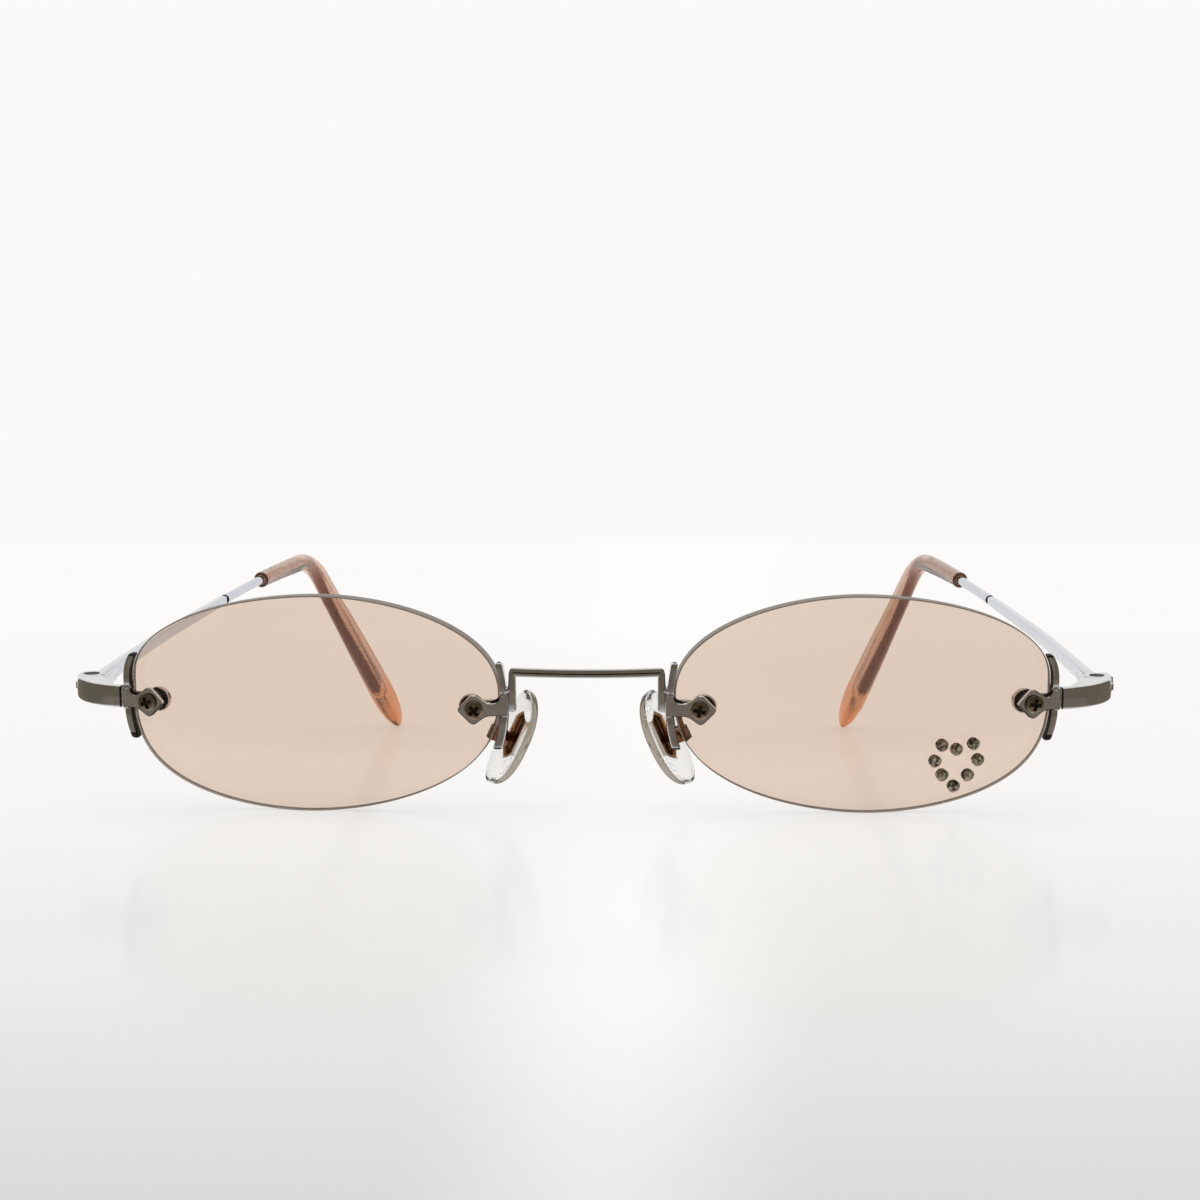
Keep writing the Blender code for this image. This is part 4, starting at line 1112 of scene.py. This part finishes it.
def pad_body():
    """A clear cushion, thickest in the middle."""
    sides, steps = 64, 48
    rings = []
    for k in range(steps + 1):
        t = -math.cos(math.pi * (k + 0.1) / (steps + 0.2))
        share = math.sqrt(1 - abs(t) ** 2.4)
        z = t * PAD_LENGTH / 2
        half_width = PAD_WIDTH / 2 * share
        thick = PAD_THICKNESS * (0.35 + 0.65 * share)
        middle = -PAD_STANDOFF - thick / 2
        thick *= math.sqrt(min(1.0, share / 0.25))
        ring = []
        for i in range(sides):
            angle = 2 * math.pi * i / sides
            c, s = math.cos(angle), math.sin(angle)
            x = middle + thick / 2 * math.copysign(abs(c) ** 0.7, c)
            ring.append(Vector((x, half_width * math.copysign(abs(s) ** 0.9, s), z)))
        rings.append(ring)
    bm = loft(rings)
    # Painted shade: a dark band of faces along one edge of the cushion.
    rim = sides // 4 * 3
    bm.faces.ensure_lookup_table()
    for number, face in enumerate(bm.faces[:steps * sides]):
        if abs(number % sides + 0.5 - rim) < PAD_SHADE_SHARE * sides:
            face.material_index = 1
    return bm


def core_outline():
    """A long hexagon."""
    half_length, half_width = CORE_LENGTH / 2, CORE_WIDTH / 2
    shoulder = half_length - half_width * 0.8
    return [
        (half_width, shoulder), (0, half_length), (-half_width, shoulder),
        (-half_width, -shoulder), (0, -half_length), (half_width, -shoulder),
    ]


def arm_points():
    """From the back of the nasal mount down to the pad's box."""
    start = LENS_FRAME @ Vector((block_inner(NASAL) - BLOCK_WIDTH / 2, block_back(NASAL) + SEAT_GAP, SCREW_Z))
    where = pad_frame()
    end = where @ Vector((BOX_FAR - ARM_RADIUS / 2, 0, -ARM_RADIUS))
    above = where @ Vector((BOX_FAR - ARM_RADIUS / 2, 0, 0.0017))
    behind = start + Vector((0.0001, 0.0016, 0.0002))
    middle = (start + above) / 2 + Vector((0.0004, 0.0013, 0.0009))
    return smooth_path([start, behind, middle, above, end], 14)


def make_pad(side_name):
    side = SIDES[side_name]
    where = pad_frame()
    body = f"{side_name}_pad"
    cushion = place(
        f"{side_name}_pad_cushion", pad_body(), where, side, body,
        ("pad_silicone", "pad_silicone_painted_shade"), [f"{side_name}_nose_pad"], sharp=60,
    )
    floor = -PAD_STANDOFF - CORE_THICKNESS - CORE_SINK
    outline = rounded([(a - CORE_SHIFT, b + CORE_RISE) for a, b in core_outline()], 0.0003)
    pocket = inset(outline, -SEAT_GAP)
    cut(cushion, prism(pocket, floor - SEAT_GAP, PAD_STANDOFF, along_x), where, side, "pad_silicone")
    sharpen(cushion, 60)
    half = STEM_WIDTH / 2
    rounds = [math.radians(-90 + 15 * k) for k in range(13)]
    stem_side = [(STEM_RADIUS * math.cos(a), STEM_RADIUS * math.sin(a)) for a in rounds]
    stem_side += [(floor + CORE_THICKNESS / 2, STEM_RADIUS), (floor + CORE_THICKNESS / 2, -STEM_RADIUS)]
    top, soft = floor + CORE_THICKNESS, EDGE_SOFT
    sunk = inset(outline, CORE_RIM)
    levels = (
        (inset(outline, soft), floor), (outline, floor + soft), (outline, top - soft),
        (inset(outline, soft), top), (sunk, top - soft), (inset(sunk, soft), top - CORE_SINK),
    )
    core_plate = loft([[along_x(a, b, x) for a, b in flat] for flat, x in levels])
    paint(core_plate, 0, 4 * len(outline), 1)
    stem = plate(stem_side, -half, half, along_y, BOX_BEVEL)
    place(f"{side_name}_pad_plate", merged([core_plate, stem]), where, side, body,
          ("copper_core", "copper_rim"), [f"{side_name}_pad_core"])

    ear = half + BORE_GAP
    outside = ear + BOX_WALL
    head_at = -outside - SEAT_GAP
    head, high = PAD_SCREW_HEAD_RADIUS, PAD_SCREW_HEAD_HEIGHT
    screw = turned([
        *((head * wide, head_at - high * rise) for wide, rise in PAD_SCREW_PROFILE),
        (PAD_SCREW_RADIUS, head_at), (PAD_SCREW_RADIUS, outside),
    ])
    place(f"{side_name}_pad_pin", screw, where, side, "front", ("copper_arm",),
          [f"{side_name}_pad_screw"])

    tall, near, far = BOX_HEIGHT / 2, -STEM_RADIUS, BOX_FAR
    walls = [
        block((near, -outside, -tall), (far, -ear, tall), BOX_BEVEL),
        block((near, ear, -tall), (far, outside, tall), BOX_BEVEL),
        block((far - BOX_WALL, -outside, -tall), (far, outside, tall), BOX_BEVEL),
    ]
    for wall in walls:
        bmesh.ops.transform(wall, matrix=where, verts=wall.verts)
    shape = merged([wire(arm_points(), ARM_RADIUS), *walls])
    place(f"{side_name}_pad_arm_wire", shape, GLASSES, side, "front",
          ("copper_arm", "copper_rim"), [f"{side_name}_pad_arm"])


# Endpieces and hinges

def endpiece_start():
    start = block_place(TEMPORAL, ENDPIECE_Z, -BRACE_LIP)
    start += SEAT_GAP * (LENS_FRAME.to_3x3() @ ACROSS)
    start.z = ENDPIECE_Z
    return start


def endpiece_centre():
    toward = Vector((-math.sin(ENDPIECE_START), math.cos(ENDPIECE_START), 0))
    return endpiece_start() + ENDPIECE_RADIUS * toward


def on_endpiece(angle, radius):
    return endpiece_centre() + radius * Vector((math.sin(angle), -math.cos(angle), 0))


def hinge_frame():
    """Frame on the hinge screw: X outwards, Y back along the temple, Z up."""
    axis = on_endpiece(ENDPIECE_END, ENDPIECE_RADIUS - BARREL_RADIUS)
    return Matrix.Translation(axis) @ Matrix.Rotation(TEMPLE_LEANS[0][1], 4, "Z")


def upright(bm):
    """Stands a shape turned about Y on end, so that its Y points down."""
    bmesh.ops.rotate(bm, cent=(0, 0, 0), matrix=Matrix.Rotation(math.radians(-90), 3, "X"), verts=bm.verts)
    return bm


def ridged_section(station, half_across, half_up, corner):
    """A rectangle with round corners, whose outer side is two flat facets that meet in a faint ridge."""
    centre, across, up = station
    edge = half_up - corner
    heights = (-edge, -edge + RIDGE_SOFT, -RIDGE_SOFT, 0.0, RIDGE_SOFT, edge - RIDGE_SOFT, edge)
    outer = [centre + (half_across + ENDPIECE_RIDGE * (1 - abs(b) / edge)) * across + b * up for b in heights]
    return section(station, half_across, half_up, corner) + outer


def endpiece_rings():
    """The curved bar. Its near end is cut to lie along the brace's side, with a soft edge."""
    steps = 48
    middle = ENDPIECE_RADIUS - ENDPIECE_THICKNESS / 2
    rings = []
    for k in range(steps + 1):
        angle = ENDPIECE_START + (ENDPIECE_END - ENDPIECE_START) * k / steps
        outward = Vector((math.sin(angle), -math.cos(angle), 0))
        station = (on_endpiece(angle, middle), outward, UP)
        trim = 0.0 if k else ENDPIECE_SOFT
        rings.append(ridged_section(
            station, ENDPIECE_THICKNESS / 2 - trim, ENDPIECE_HEIGHT / 2 - trim, BAR_CORNER - trim / 2,
        ))
    side_way = LENS_FRAME.to_3x3() @ ACROSS
    along = Vector((math.cos(ENDPIECE_START), math.sin(ENDPIECE_START), 0))
    rings[0] = [p - along * ((p - endpiece_start()).dot(side_way) / along.dot(side_way)) for p in rings[0]]
    return rings


def web_outline():
    """The thin ear that joins the bar's inner side to the top of the barrel."""
    inside = ENDPIECE_RADIUS - ENDPIECE_THICKNESS + 0.0002
    outline = [on_endpiece(math.radians(angle), inside) for angle in range(22, 86, 7)]
    axis = on_endpiece(ENDPIECE_END, ENDPIECE_RADIUS - BARREL_RADIUS)
    for angle in (90, 120, 150, 180, 210):
        turn = math.radians(angle)
        outline.append(axis + (BARREL_RADIUS - 0.0001) * Vector((math.cos(turn), math.sin(turn), 0)))
    return [(point.x, point.y) for point in outline]


def make_endpiece(side_name):
    """The curved bar, its hinge barrel and the butt that the temple closes on, slotted and drilled."""
    side = SIDES[side_name]
    where = hinge_frame()
    tall, soft = ENDPIECE_HEIGHT / 2, BARREL_SOFT
    low = tall - ENDPIECE_STEP
    lower = low - ENDPIECE_STEP
    barrel = upright(turned([
        (BARREL_RADIUS - soft, -low), (BARREL_RADIUS, -low + soft), (BARREL_RADIUS, low - soft),
        (BARREL_RADIUS - soft, low),
    ], 64))
    butt = block((0, -0.0010, -lower), (BARREL_RADIUS, BUTT_LENGTH, lower), EDGE_SOFT)
    level = ENDPIECE_Z + lower
    web = prism(web_outline(), level - WEB_THICKNESS, level, along_z)
    rings = endpiece_rings()
    bar = loft(rings)
    # The bar's near end has painted shade where it meets the brace.
    paint(bar, 0, len(rings[0]), 2)
    slot = TONGUE_THICKNESS / 2 + BORE_GAP
    reach = TONGUE_RADIUS + 2 * BORE_GAP
    bore = HINGE_SHANK_RADIUS + BORE_GAP
    sunk = HINGE_HEAD_HEIGHT + SEAT_GAP
    seat = HINGE_HEAD_RADIUS + BORE_GAP
    shaped = []
    for number, (bm, stand) in enumerate(((bar, GLASSES), (barrel, where), (butt, where), (web, GLASSES))):
        body = place(f"{side_name}_endpiece_bar_{number}", bm, stand, side, None, METAL)
        room = prism(rectangle(-0.004, -reach, 0.004, 0.004), -slot, slot, along_z)
        drill = upright(turned([
            (seat, -2 * tall), (seat, sunk - tall), (bore, sunk - tall), (bore, 2 * tall),
        ]))
        cut(body, room, where, side)
        cut(body, drill, where, side)
        shaped.append(body)
    together(f"{side_name}_endpiece_bar", shaped, "front", [f"{side_name}_endpiece"])

    # The hinge screw, sunk in its seat, and its slot get the painted shade finish.
    screw = place(
        f"{side_name}_hinge_pin",
        upright(turned([
            (HINGE_HEAD_RADIUS * 0.85, -tall), (HINGE_HEAD_RADIUS, -tall + EDGE_SOFT),
            (HINGE_HEAD_RADIUS, -tall + HINGE_HEAD_HEIGHT), (HINGE_SHANK_RADIUS, -tall + HINGE_HEAD_HEIGHT),
            (HINGE_SHANK_RADIUS, tall),
        ])),
        where, side, "front", ("painted_shade_metal",), [f"{side_name}_hinge_screw"],
    )
    half = HINGE_SLOT_WIDTH / 2
    groove = prism(rectangle(-0.002, -half, 0.002, half), tall - HINGE_HEAD_HEIGHT / 2, 2 * tall, along_z)
    cut(screw, groove, where, side, "painted_shade_metal")
    sharpen(screw)


def make_leaf(side_name):
    """The plate on the temple's inner side, and its tongue in the endpiece's slot."""
    side = SIDES[side_name]
    where = hinge_frame()
    face = BAR_OFFSET - BAR_FRONT[0] / 2 - SEAT_GAP
    start = BUTT_LENGTH + SEAT_GAP
    half = TONGUE_THICKNESS / 2
    low, high = -BAR_SINK - LEAF_HEIGHT / 2, -BAR_SINK + LEAF_HEIGHT / 2
    plate_body = block((face - LEAF_THICKNESS, start, low), (face, start + LEAF_LENGTH, high))
    for vertex in plate_body.verts:
        # The plate climbs with the bar and thins out towards its end.
        vertex.co.z += (vertex.co.y - start) * math.tan(TEMPLE_RISE)
        vertex.co.x += (face - vertex.co.x) * LEAF_THINNING * (vertex.co.y - start) / LEAF_LENGTH
    outline = [(face, start + LEAF_THICKNESS), (face - LEAF_THICKNESS, start + LEAF_THICKNESS)]
    first = math.pi / 2 + math.asin((LEAF_THICKNESS - face) / TONGUE_RADIUS)
    last = 2 * math.pi + math.pi / 2 + math.asin(-face / TONGUE_RADIUS)
    turns = 40
    for k in range(turns + 1):
        angle = first + (last - first) * k / turns
        outline.append((TONGUE_RADIUS * math.cos(angle), min(BUTT_LENGTH, TONGUE_RADIUS * math.sin(angle))))
    finishes = ("gunmetal_temple", "gunmetal_temple")
    leaf = place(f"{side_name}_hinge_leaf", plate_body, where, side, None, finishes)
    tongue_body = prism(outline, -half, half, along_z)
    tongue = place(f"{side_name}_hinge_tongue", tongue_body, where, side, None, finishes)
    bore = HINGE_SHANK_RADIUS + BORE_GAP
    cut(tongue, upright(turned([(bore, -0.003), (bore, 0.003)])), where, side)
    together(f"{side_name}_hinge_plate", [leaf, tongue], f"{side_name}_temple",
             [f"{side_name}_temple_hinge_leaf"])


# Temples

def temple_angles(distance):
    """(lean, pitch) of the temple's line, this far from the bar's front end."""
    places, leans = zip(*TEMPLE_LEANS)
    lean = float(np.interp(distance, places, leans))
    turns = (BAR_LENGTH, BEND_START, BEND_START + BEND_LENGTH)
    return lean, float(np.interp(distance, turns, (TEMPLE_RISE, BOW_PITCH, -TEMPLE_DROP)))


def temple_points(distances):
    """Points of the temple's line at these distances, walked in short steps."""
    point = hinge_frame() @ Vector((BAR_OFFSET, BUTT_LENGTH + SEAT_GAP, -BAR_SINK))
    found, walked = [], 0.0
    for distance in distances:
        while walked < distance:
            step = min(STRIDE, distance - walked)
            lean, pitch = temple_angles(walked + step / 2)
            point = point + step * Vector((
                -math.sin(lean) * math.cos(pitch), math.cos(lean) * math.cos(pitch), math.sin(pitch),
            ))
            walked += step
        found.append(point.copy())
    return found


def stations(start, end, step):
    count = max(1, round((end - start) / step))
    return [start + (end - start) * k / count for k in range(count + 1)]


def temple_section(distance):
    """(half thickness, half height, corner) of the temple, this far from the bar's front end."""
    if distance <= BAR_LENGTH:
        thick, high = (float(np.interp(distance, (0, BAR_LENGTH), pair)) for pair in zip(BAR_FRONT, BAR_REAR))
        trim = BAR_SOFT * max(0.0, 1 - min(distance, BAR_LENGTH - distance) / BAR_SOFT_LENGTH)
        return thick / 2 - trim, high / 2 - trim, BAR_CORNER
    in_groove = distance < BAR_LENGTH + GROOVE_LENGTH - GROOVE_SLOPE / 2
    return (GROOVE_RADIUS if in_groove else WIRE_RADIUS,) * 3


def hidden_wire(distance, station, room):
    """The wire's section inside the sleeve: flattened past the bend, further outwards, and round at its end."""
    centre, across, up = station
    share = min(1.0, max(0.0, (distance - BEND_START) / FLATTENING_LENGTH))
    centre = centre + share * (WIRE_ASIDE * across - WIRE_LOW * up)
    past = min(1.0, max(0.0, (distance - TEMPLE_LENGTH + BLADE_LENGTH) / TAPER_LENGTH + 1))
    narrow = math.sqrt(1 - 0.96 * past * past)
    half_across = (WIRE_RADIUS + (FLAT_WIRE[0] - WIRE_RADIUS) * share) * narrow + room
    half_up = (WIRE_RADIUS + (FLAT_WIRE[1] - WIRE_RADIUS) * share) * narrow + room
    return (centre, across, up), half_across, half_up, min(half_across, half_up)


def make_temple(side_name):
    """The tapered bar, the groove behind it and the round wire that the sleeve is pushed on."""
    wire_end = TEMPLE_LENGTH - BLADE_LENGTH
    after = BAR_LENGTH + GROOVE_LENGTH
    distances = [
        0, 0.0001, 0.0003, *stations(0.001, BAR_LENGTH - 0.0006, 0.001), BAR_LENGTH - 0.0002, BAR_LENGTH,
        BAR_LENGTH + GROOVE_SLOPE, after - GROOVE_SLOPE, *stations(after, wire_end, 0.001),
    ]
    stops = frames_along(temple_points(distances), ACROSS)
    rings = []
    for distance, stop in zip(distances, stops):
        if distance > BEND_START:
            rings.append(section(*hidden_wire(distance, stop, 0)))
        else:
            rings.append(section(stop, *temple_section(distance)))
    bm = loft(rings)
    sides = len(rings[0])
    groove = distances.index(BAR_LENGTH)
    # The groove behind the bar gets painted shade.
    paint(bm, groove * sides, (groove + 3) * sides, 1)
    hidden = next(k for k, distance in enumerate(distances) if distance > BEND_START)
    paint(bm, hidden * sides, len(bm.faces), 2)
    place(f"{side_name}_temple_bar", bm, GLASSES, SIDES[side_name], f"{side_name}_temple",
          TEMPLE_METAL, [f"{side_name}_temple"])


def tip_size(distance):
    """(half thickness, half height, corner) of the sleeve, this far from the bar's front end."""
    places, thicks, highs = zip(*TIP_SIZES)
    past = max(0.0, distance - (TEMPLE_LENGTH - BLADE_LENGTH)) / BLADE_LENGTH
    round_off = math.sqrt(max(0.0, 1 - past * past))
    mouth = MOUTH_SOFT * max(0.0, 1 - (distance - MOUTH_AT) / MOUTH_SOFT_LENGTH)
    thick = float(np.interp(distance, places, thicks)) * round_off - mouth
    high = float(np.interp(distance, places, highs)) * round_off - mouth
    return thick, high, min(thick, high) * 0.999


def make_tip(side_name):
    """The sleeve: its outer skin, and the bore that the wire sits in, open at the mouth."""
    blade = TEMPLE_LENGTH - BLADE_LENGTH
    outer_at = [MOUTH_AT, MOUTH_AT + 0.0001, MOUTH_AT + MOUTH_SOFT_LENGTH]
    outer_at += stations(MOUTH_AT + 0.001, blade, 0.001)
    outer_at += [blade + BLADE_LENGTH * math.sin(math.pi / 2 * k / 16) for k in range(1, 16)]
    outer_at.append(TEMPLE_LENGTH - 0.00001)
    bore_at = [MOUTH_AT, *stations(MOUTH_AT + 0.001, blade + SEAT_GAP, 0.001)]
    outer_frames = frames_along(temple_points(outer_at), ACROSS)
    bore_frames = frames_along(temple_points(bore_at), ACROSS)
    outer = [section(f, *tip_size(d), points=8) for d, f in zip(outer_at, outer_frames)]
    inner = [section(*hidden_wire(d, f, BORE_GAP * 0.3), points=8) for d, f in zip(bore_at, bore_frames)]
    bm = loft([*reversed(inner), *outer])
    sides = len(outer[0])
    lip = len(inner) - 1
    paint(bm, lip * sides, (lip + 2) * sides, 1)
    place(f"{side_name}_tip_sleeve", bm, GLASSES, SIDES[side_name], f"{side_name}_temple",
          ("tip_brown", "tip_mouth"), [f"{side_name}_temple_tip"])


# Studio

PAPER_WHITE = (0.965, 0.955, 0.940)
WALL_TONE = (0.19, 0.165, 0.125)
WALL_HEIGHT = 1.9
CARD_LIFT = 0.001
CARD_TONES = {
    "first_step": (0.73, 0.70, 0.66),
    "second_step": (0.50, 0.45, 0.40),
    "near_card": (0.27, 0.226, 0.18),
    "far_card": (0.20, 0.17, 0.12),
}

# Half width, front, corner radius and back end of the U-shaped edges of the cards, from the glasses outwards
CARD_EDGES = (
    (0.0740, -0.0790, 0.006, -0.018),
    (0.0770, -0.0820, 0.008, -0.010),
    (0.0800, -0.0850, 0.010, -0.002),
    (0.1030, -0.1110, 0.035, 0.070),
    (0.9000, -0.9000, 0.300, 1.00),
)

# Floor: its glow, its body tone, and a gloss that fades outwards
FLOOR_GLOW = 0.70
FLOOR_BODY = 0.335
FLOOR_GLOSS = 0.11
GLOSS_ROUGHNESS = 0.12
GLOSS_FADE = (0.25, 0.60)

# Painted shade on the floor: it darkens towards a soft line in front of the glasses, and to both sides of a fan
# that opens back
DARK_LINE = 0.265
DARK_LINE_SOFT = 0.0002
DARKENING = (-0.30, -0.175)
DARK_SHARE = 0.71
FAN_START = 0.373
FAN_MIDDLE = 0.008
FAN_LEAST = 0.1
FAN_SLOPE = 0.09
FAN_REACH = (-0.21, -0.04)
FAN_DEPTHS = (0.15, 0.03)


def make_studio():
    world = bpy.data.worlds.new("studio")
    world.use_nodes = True
    backdrop = world.node_tree.nodes["Background"]
    backdrop.inputs["Color"].default_value = (*PAPER_WHITE, 1)
    backdrop.inputs["Strength"].default_value = 1.0
    bpy.context.scene.world = world

    bm = bmesh.new()
    bmesh.ops.create_circle(bm, cap_ends=True, segments=64, radius=30)
    floor = linked("floor", bm, floor_sheet())

    # Dim cards, seen only in reflections, stand for the dark sides of the room.
    edges = [card_edge(*edge, CARD_LIFT) for edge in CARD_EDGES]
    for (name, tone), inner, outer in zip(CARD_TONES.items(), edges, edges[1:]):
        make_card(name, tone, inner, outer)
    make_card("wall_card", WALL_TONE, edges[-1], card_edge(*CARD_EDGES[-1], WALL_HEIGHT))


def floor_sheet():
    """A faintly glowing white sheet with a soft gloss, and painted shade that makes it a little darker towards
    the front and the sides.
    """
    finish = Finish("floor_white", PAPER_WHITE, Specular_IOR_Level=0.0, Emission_Strength=FLOOR_GLOW)
    axes = finish.axes()
    past = finish.maths("ADD", axes["Y"], DARK_LINE)
    squared = finish.maths("ADD", finish.maths("MULTIPLY", past, past), DARK_LINE_SOFT)
    behind = finish.maths("SUBTRACT", finish.maths("SQRT", squared), DARK_LINE)
    front = finish.spread(behind, *DARKENING, DARK_SHARE, 1.0)
    width = finish.maths("MAXIMUM", finish.maths("ADD", behind, FAN_START), FAN_LEAST)
    sideways = finish.maths("ABSOLUTE", finish.maths("ADD", axes["X"], -FAN_MIDDLE))
    aside = finish.spread(finish.maths("DIVIDE", sideways, width), 0.0, FAN_SLOPE)
    depth = finish.spread(behind, *FAN_REACH, *FAN_DEPTHS)
    fan = finish.maths("SUBTRACT", 1.0, finish.maths("MULTIPLY", aside, depth))
    shade = finish.maths("MULTIPLY", front, fan)
    black = (0.0, 0.0, 0.0)
    finish.link(finish.mix(shade, black, (FLOOR_BODY,) * 3), finish.sockets["Base Color"])
    finish.link(finish.mix(shade, black, PAPER_WHITE), finish.sockets["Emission Color"])
    gloss = finish.node("ShaderNodeBsdfGlossy", Roughness=GLOSS_ROUGHNESS)
    middle = finish.node("ShaderNodeVectorMath")
    middle.operation = "LENGTH"
    finish.link(finish.place(), middle.inputs[0])
    mix = finish.node("ShaderNodeMixShader")
    finish.link(finish.spread(middle.outputs["Value"], *GLOSS_FADE, FLOOR_GLOSS, 0.0), mix.inputs["Fac"])
    finish.link(finish.tree.nodes["Principled BSDF"].outputs["BSDF"], mix.inputs[1])
    finish.link(gloss.outputs["BSDF"], mix.inputs[2])
    finish.link(mix.outputs["Shader"], finish.tree.nodes["Material Output"].inputs["Surface"])
    return finish.material


def card_edge(half, front, radius, back, height):
    """A U-shaped line round the front of the glasses, from back left to back right."""
    points = [Vector((-half, back, height))]
    for side in (-1, 1):
        for k in range(9):
            angle = math.radians(11.25 * k) if side < 0 else math.radians(90 - 11.25 * k)
            x = half - radius + radius * math.cos(angle)
            points.append(Vector((side * x, front + radius - radius * math.sin(angle), height)))
    points.append(Vector((half, back, height)))
    return points


def make_card(name, tone, inner, outer):
    """A dim card between two edges, whose back lets all light through."""
    finish = bpy.data.materials.new(name)
    finish.use_nodes = True
    tree = finish.node_tree
    tree.nodes.clear()
    glow = tree.nodes.new("ShaderNodeEmission")
    glow.inputs["Color"].default_value = (*tone, 1)
    clear = tree.nodes.new("ShaderNodeBsdfTransparent")
    side = tree.nodes.new("ShaderNodeNewGeometry")
    mix = tree.nodes.new("ShaderNodeMixShader")
    out = tree.nodes.new("ShaderNodeOutputMaterial")
    tree.links.new(side.outputs["Backfacing"], mix.inputs["Fac"])
    tree.links.new(glow.outputs["Emission"], mix.inputs[1])
    tree.links.new(clear.outputs["BSDF"], mix.inputs[2])
    tree.links.new(mix.outputs["Shader"], out.inputs["Surface"])
    bm = bmesh.new()
    near, far = ([bm.verts.new(point) for point in edge] for edge in (inner, outer))
    for i in range(len(near) - 1):
        bm.faces.new((near[i], far[i], far[i + 1], near[i + 1]))
    card = linked(name, bm, finish)
    card.visible_camera = False
    card.visible_diffuse = False
    card.visible_transmission = False
    card.visible_shadow = False


# Camera

CAMERA_AT = Vector((0.012504, -0.373322, 0.033544))
CAMERA_DOWN = math.radians(1.376)
CAMERA_TURN = math.radians(2.066)
CAMERA_LENS = 74.24


def make_camera():
    data = bpy.data.cameras.new("camera")
    data.lens = CAMERA_LENS
    data.sensor_width = 36
    data.clip_start = 0.01
    camera = bpy.data.objects.new("camera", data)
    camera.location = CAMERA_AT
    camera.rotation_euler = (math.radians(90) - CAMERA_DOWN, 0, CAMERA_TURN)
    bpy.context.scene.collection.objects.link(camera)
    bpy.context.scene.camera = camera


def corners(bounds):
    return [[float(value) for value in corner] for corner in bounds]


def main():
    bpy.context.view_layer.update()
    make_camera()
    make_studio()
    for side_name in SIDES:
        make_lens(side_name)
        for end, word in ((TEMPORAL, "temporal"), (NASAL, "nasal")):
            make_mount(side_name, end, word)
            make_lens_screw(side_name, end, word)
        make_pad(side_name)
        make_endpiece(side_name)
        make_leaf(side_name)
        make_temple(side_name)
        make_tip(side_name)
    make_stones()
    make_bridge()
    scene = bpy.context.scene
    scene.view_settings.view_transform = "Standard"
    scene.cycles.transparent_max_bounces = 16
    scene.cycles.transmission_bounces = 16
    scene.cycles.max_bounces = 20


main()
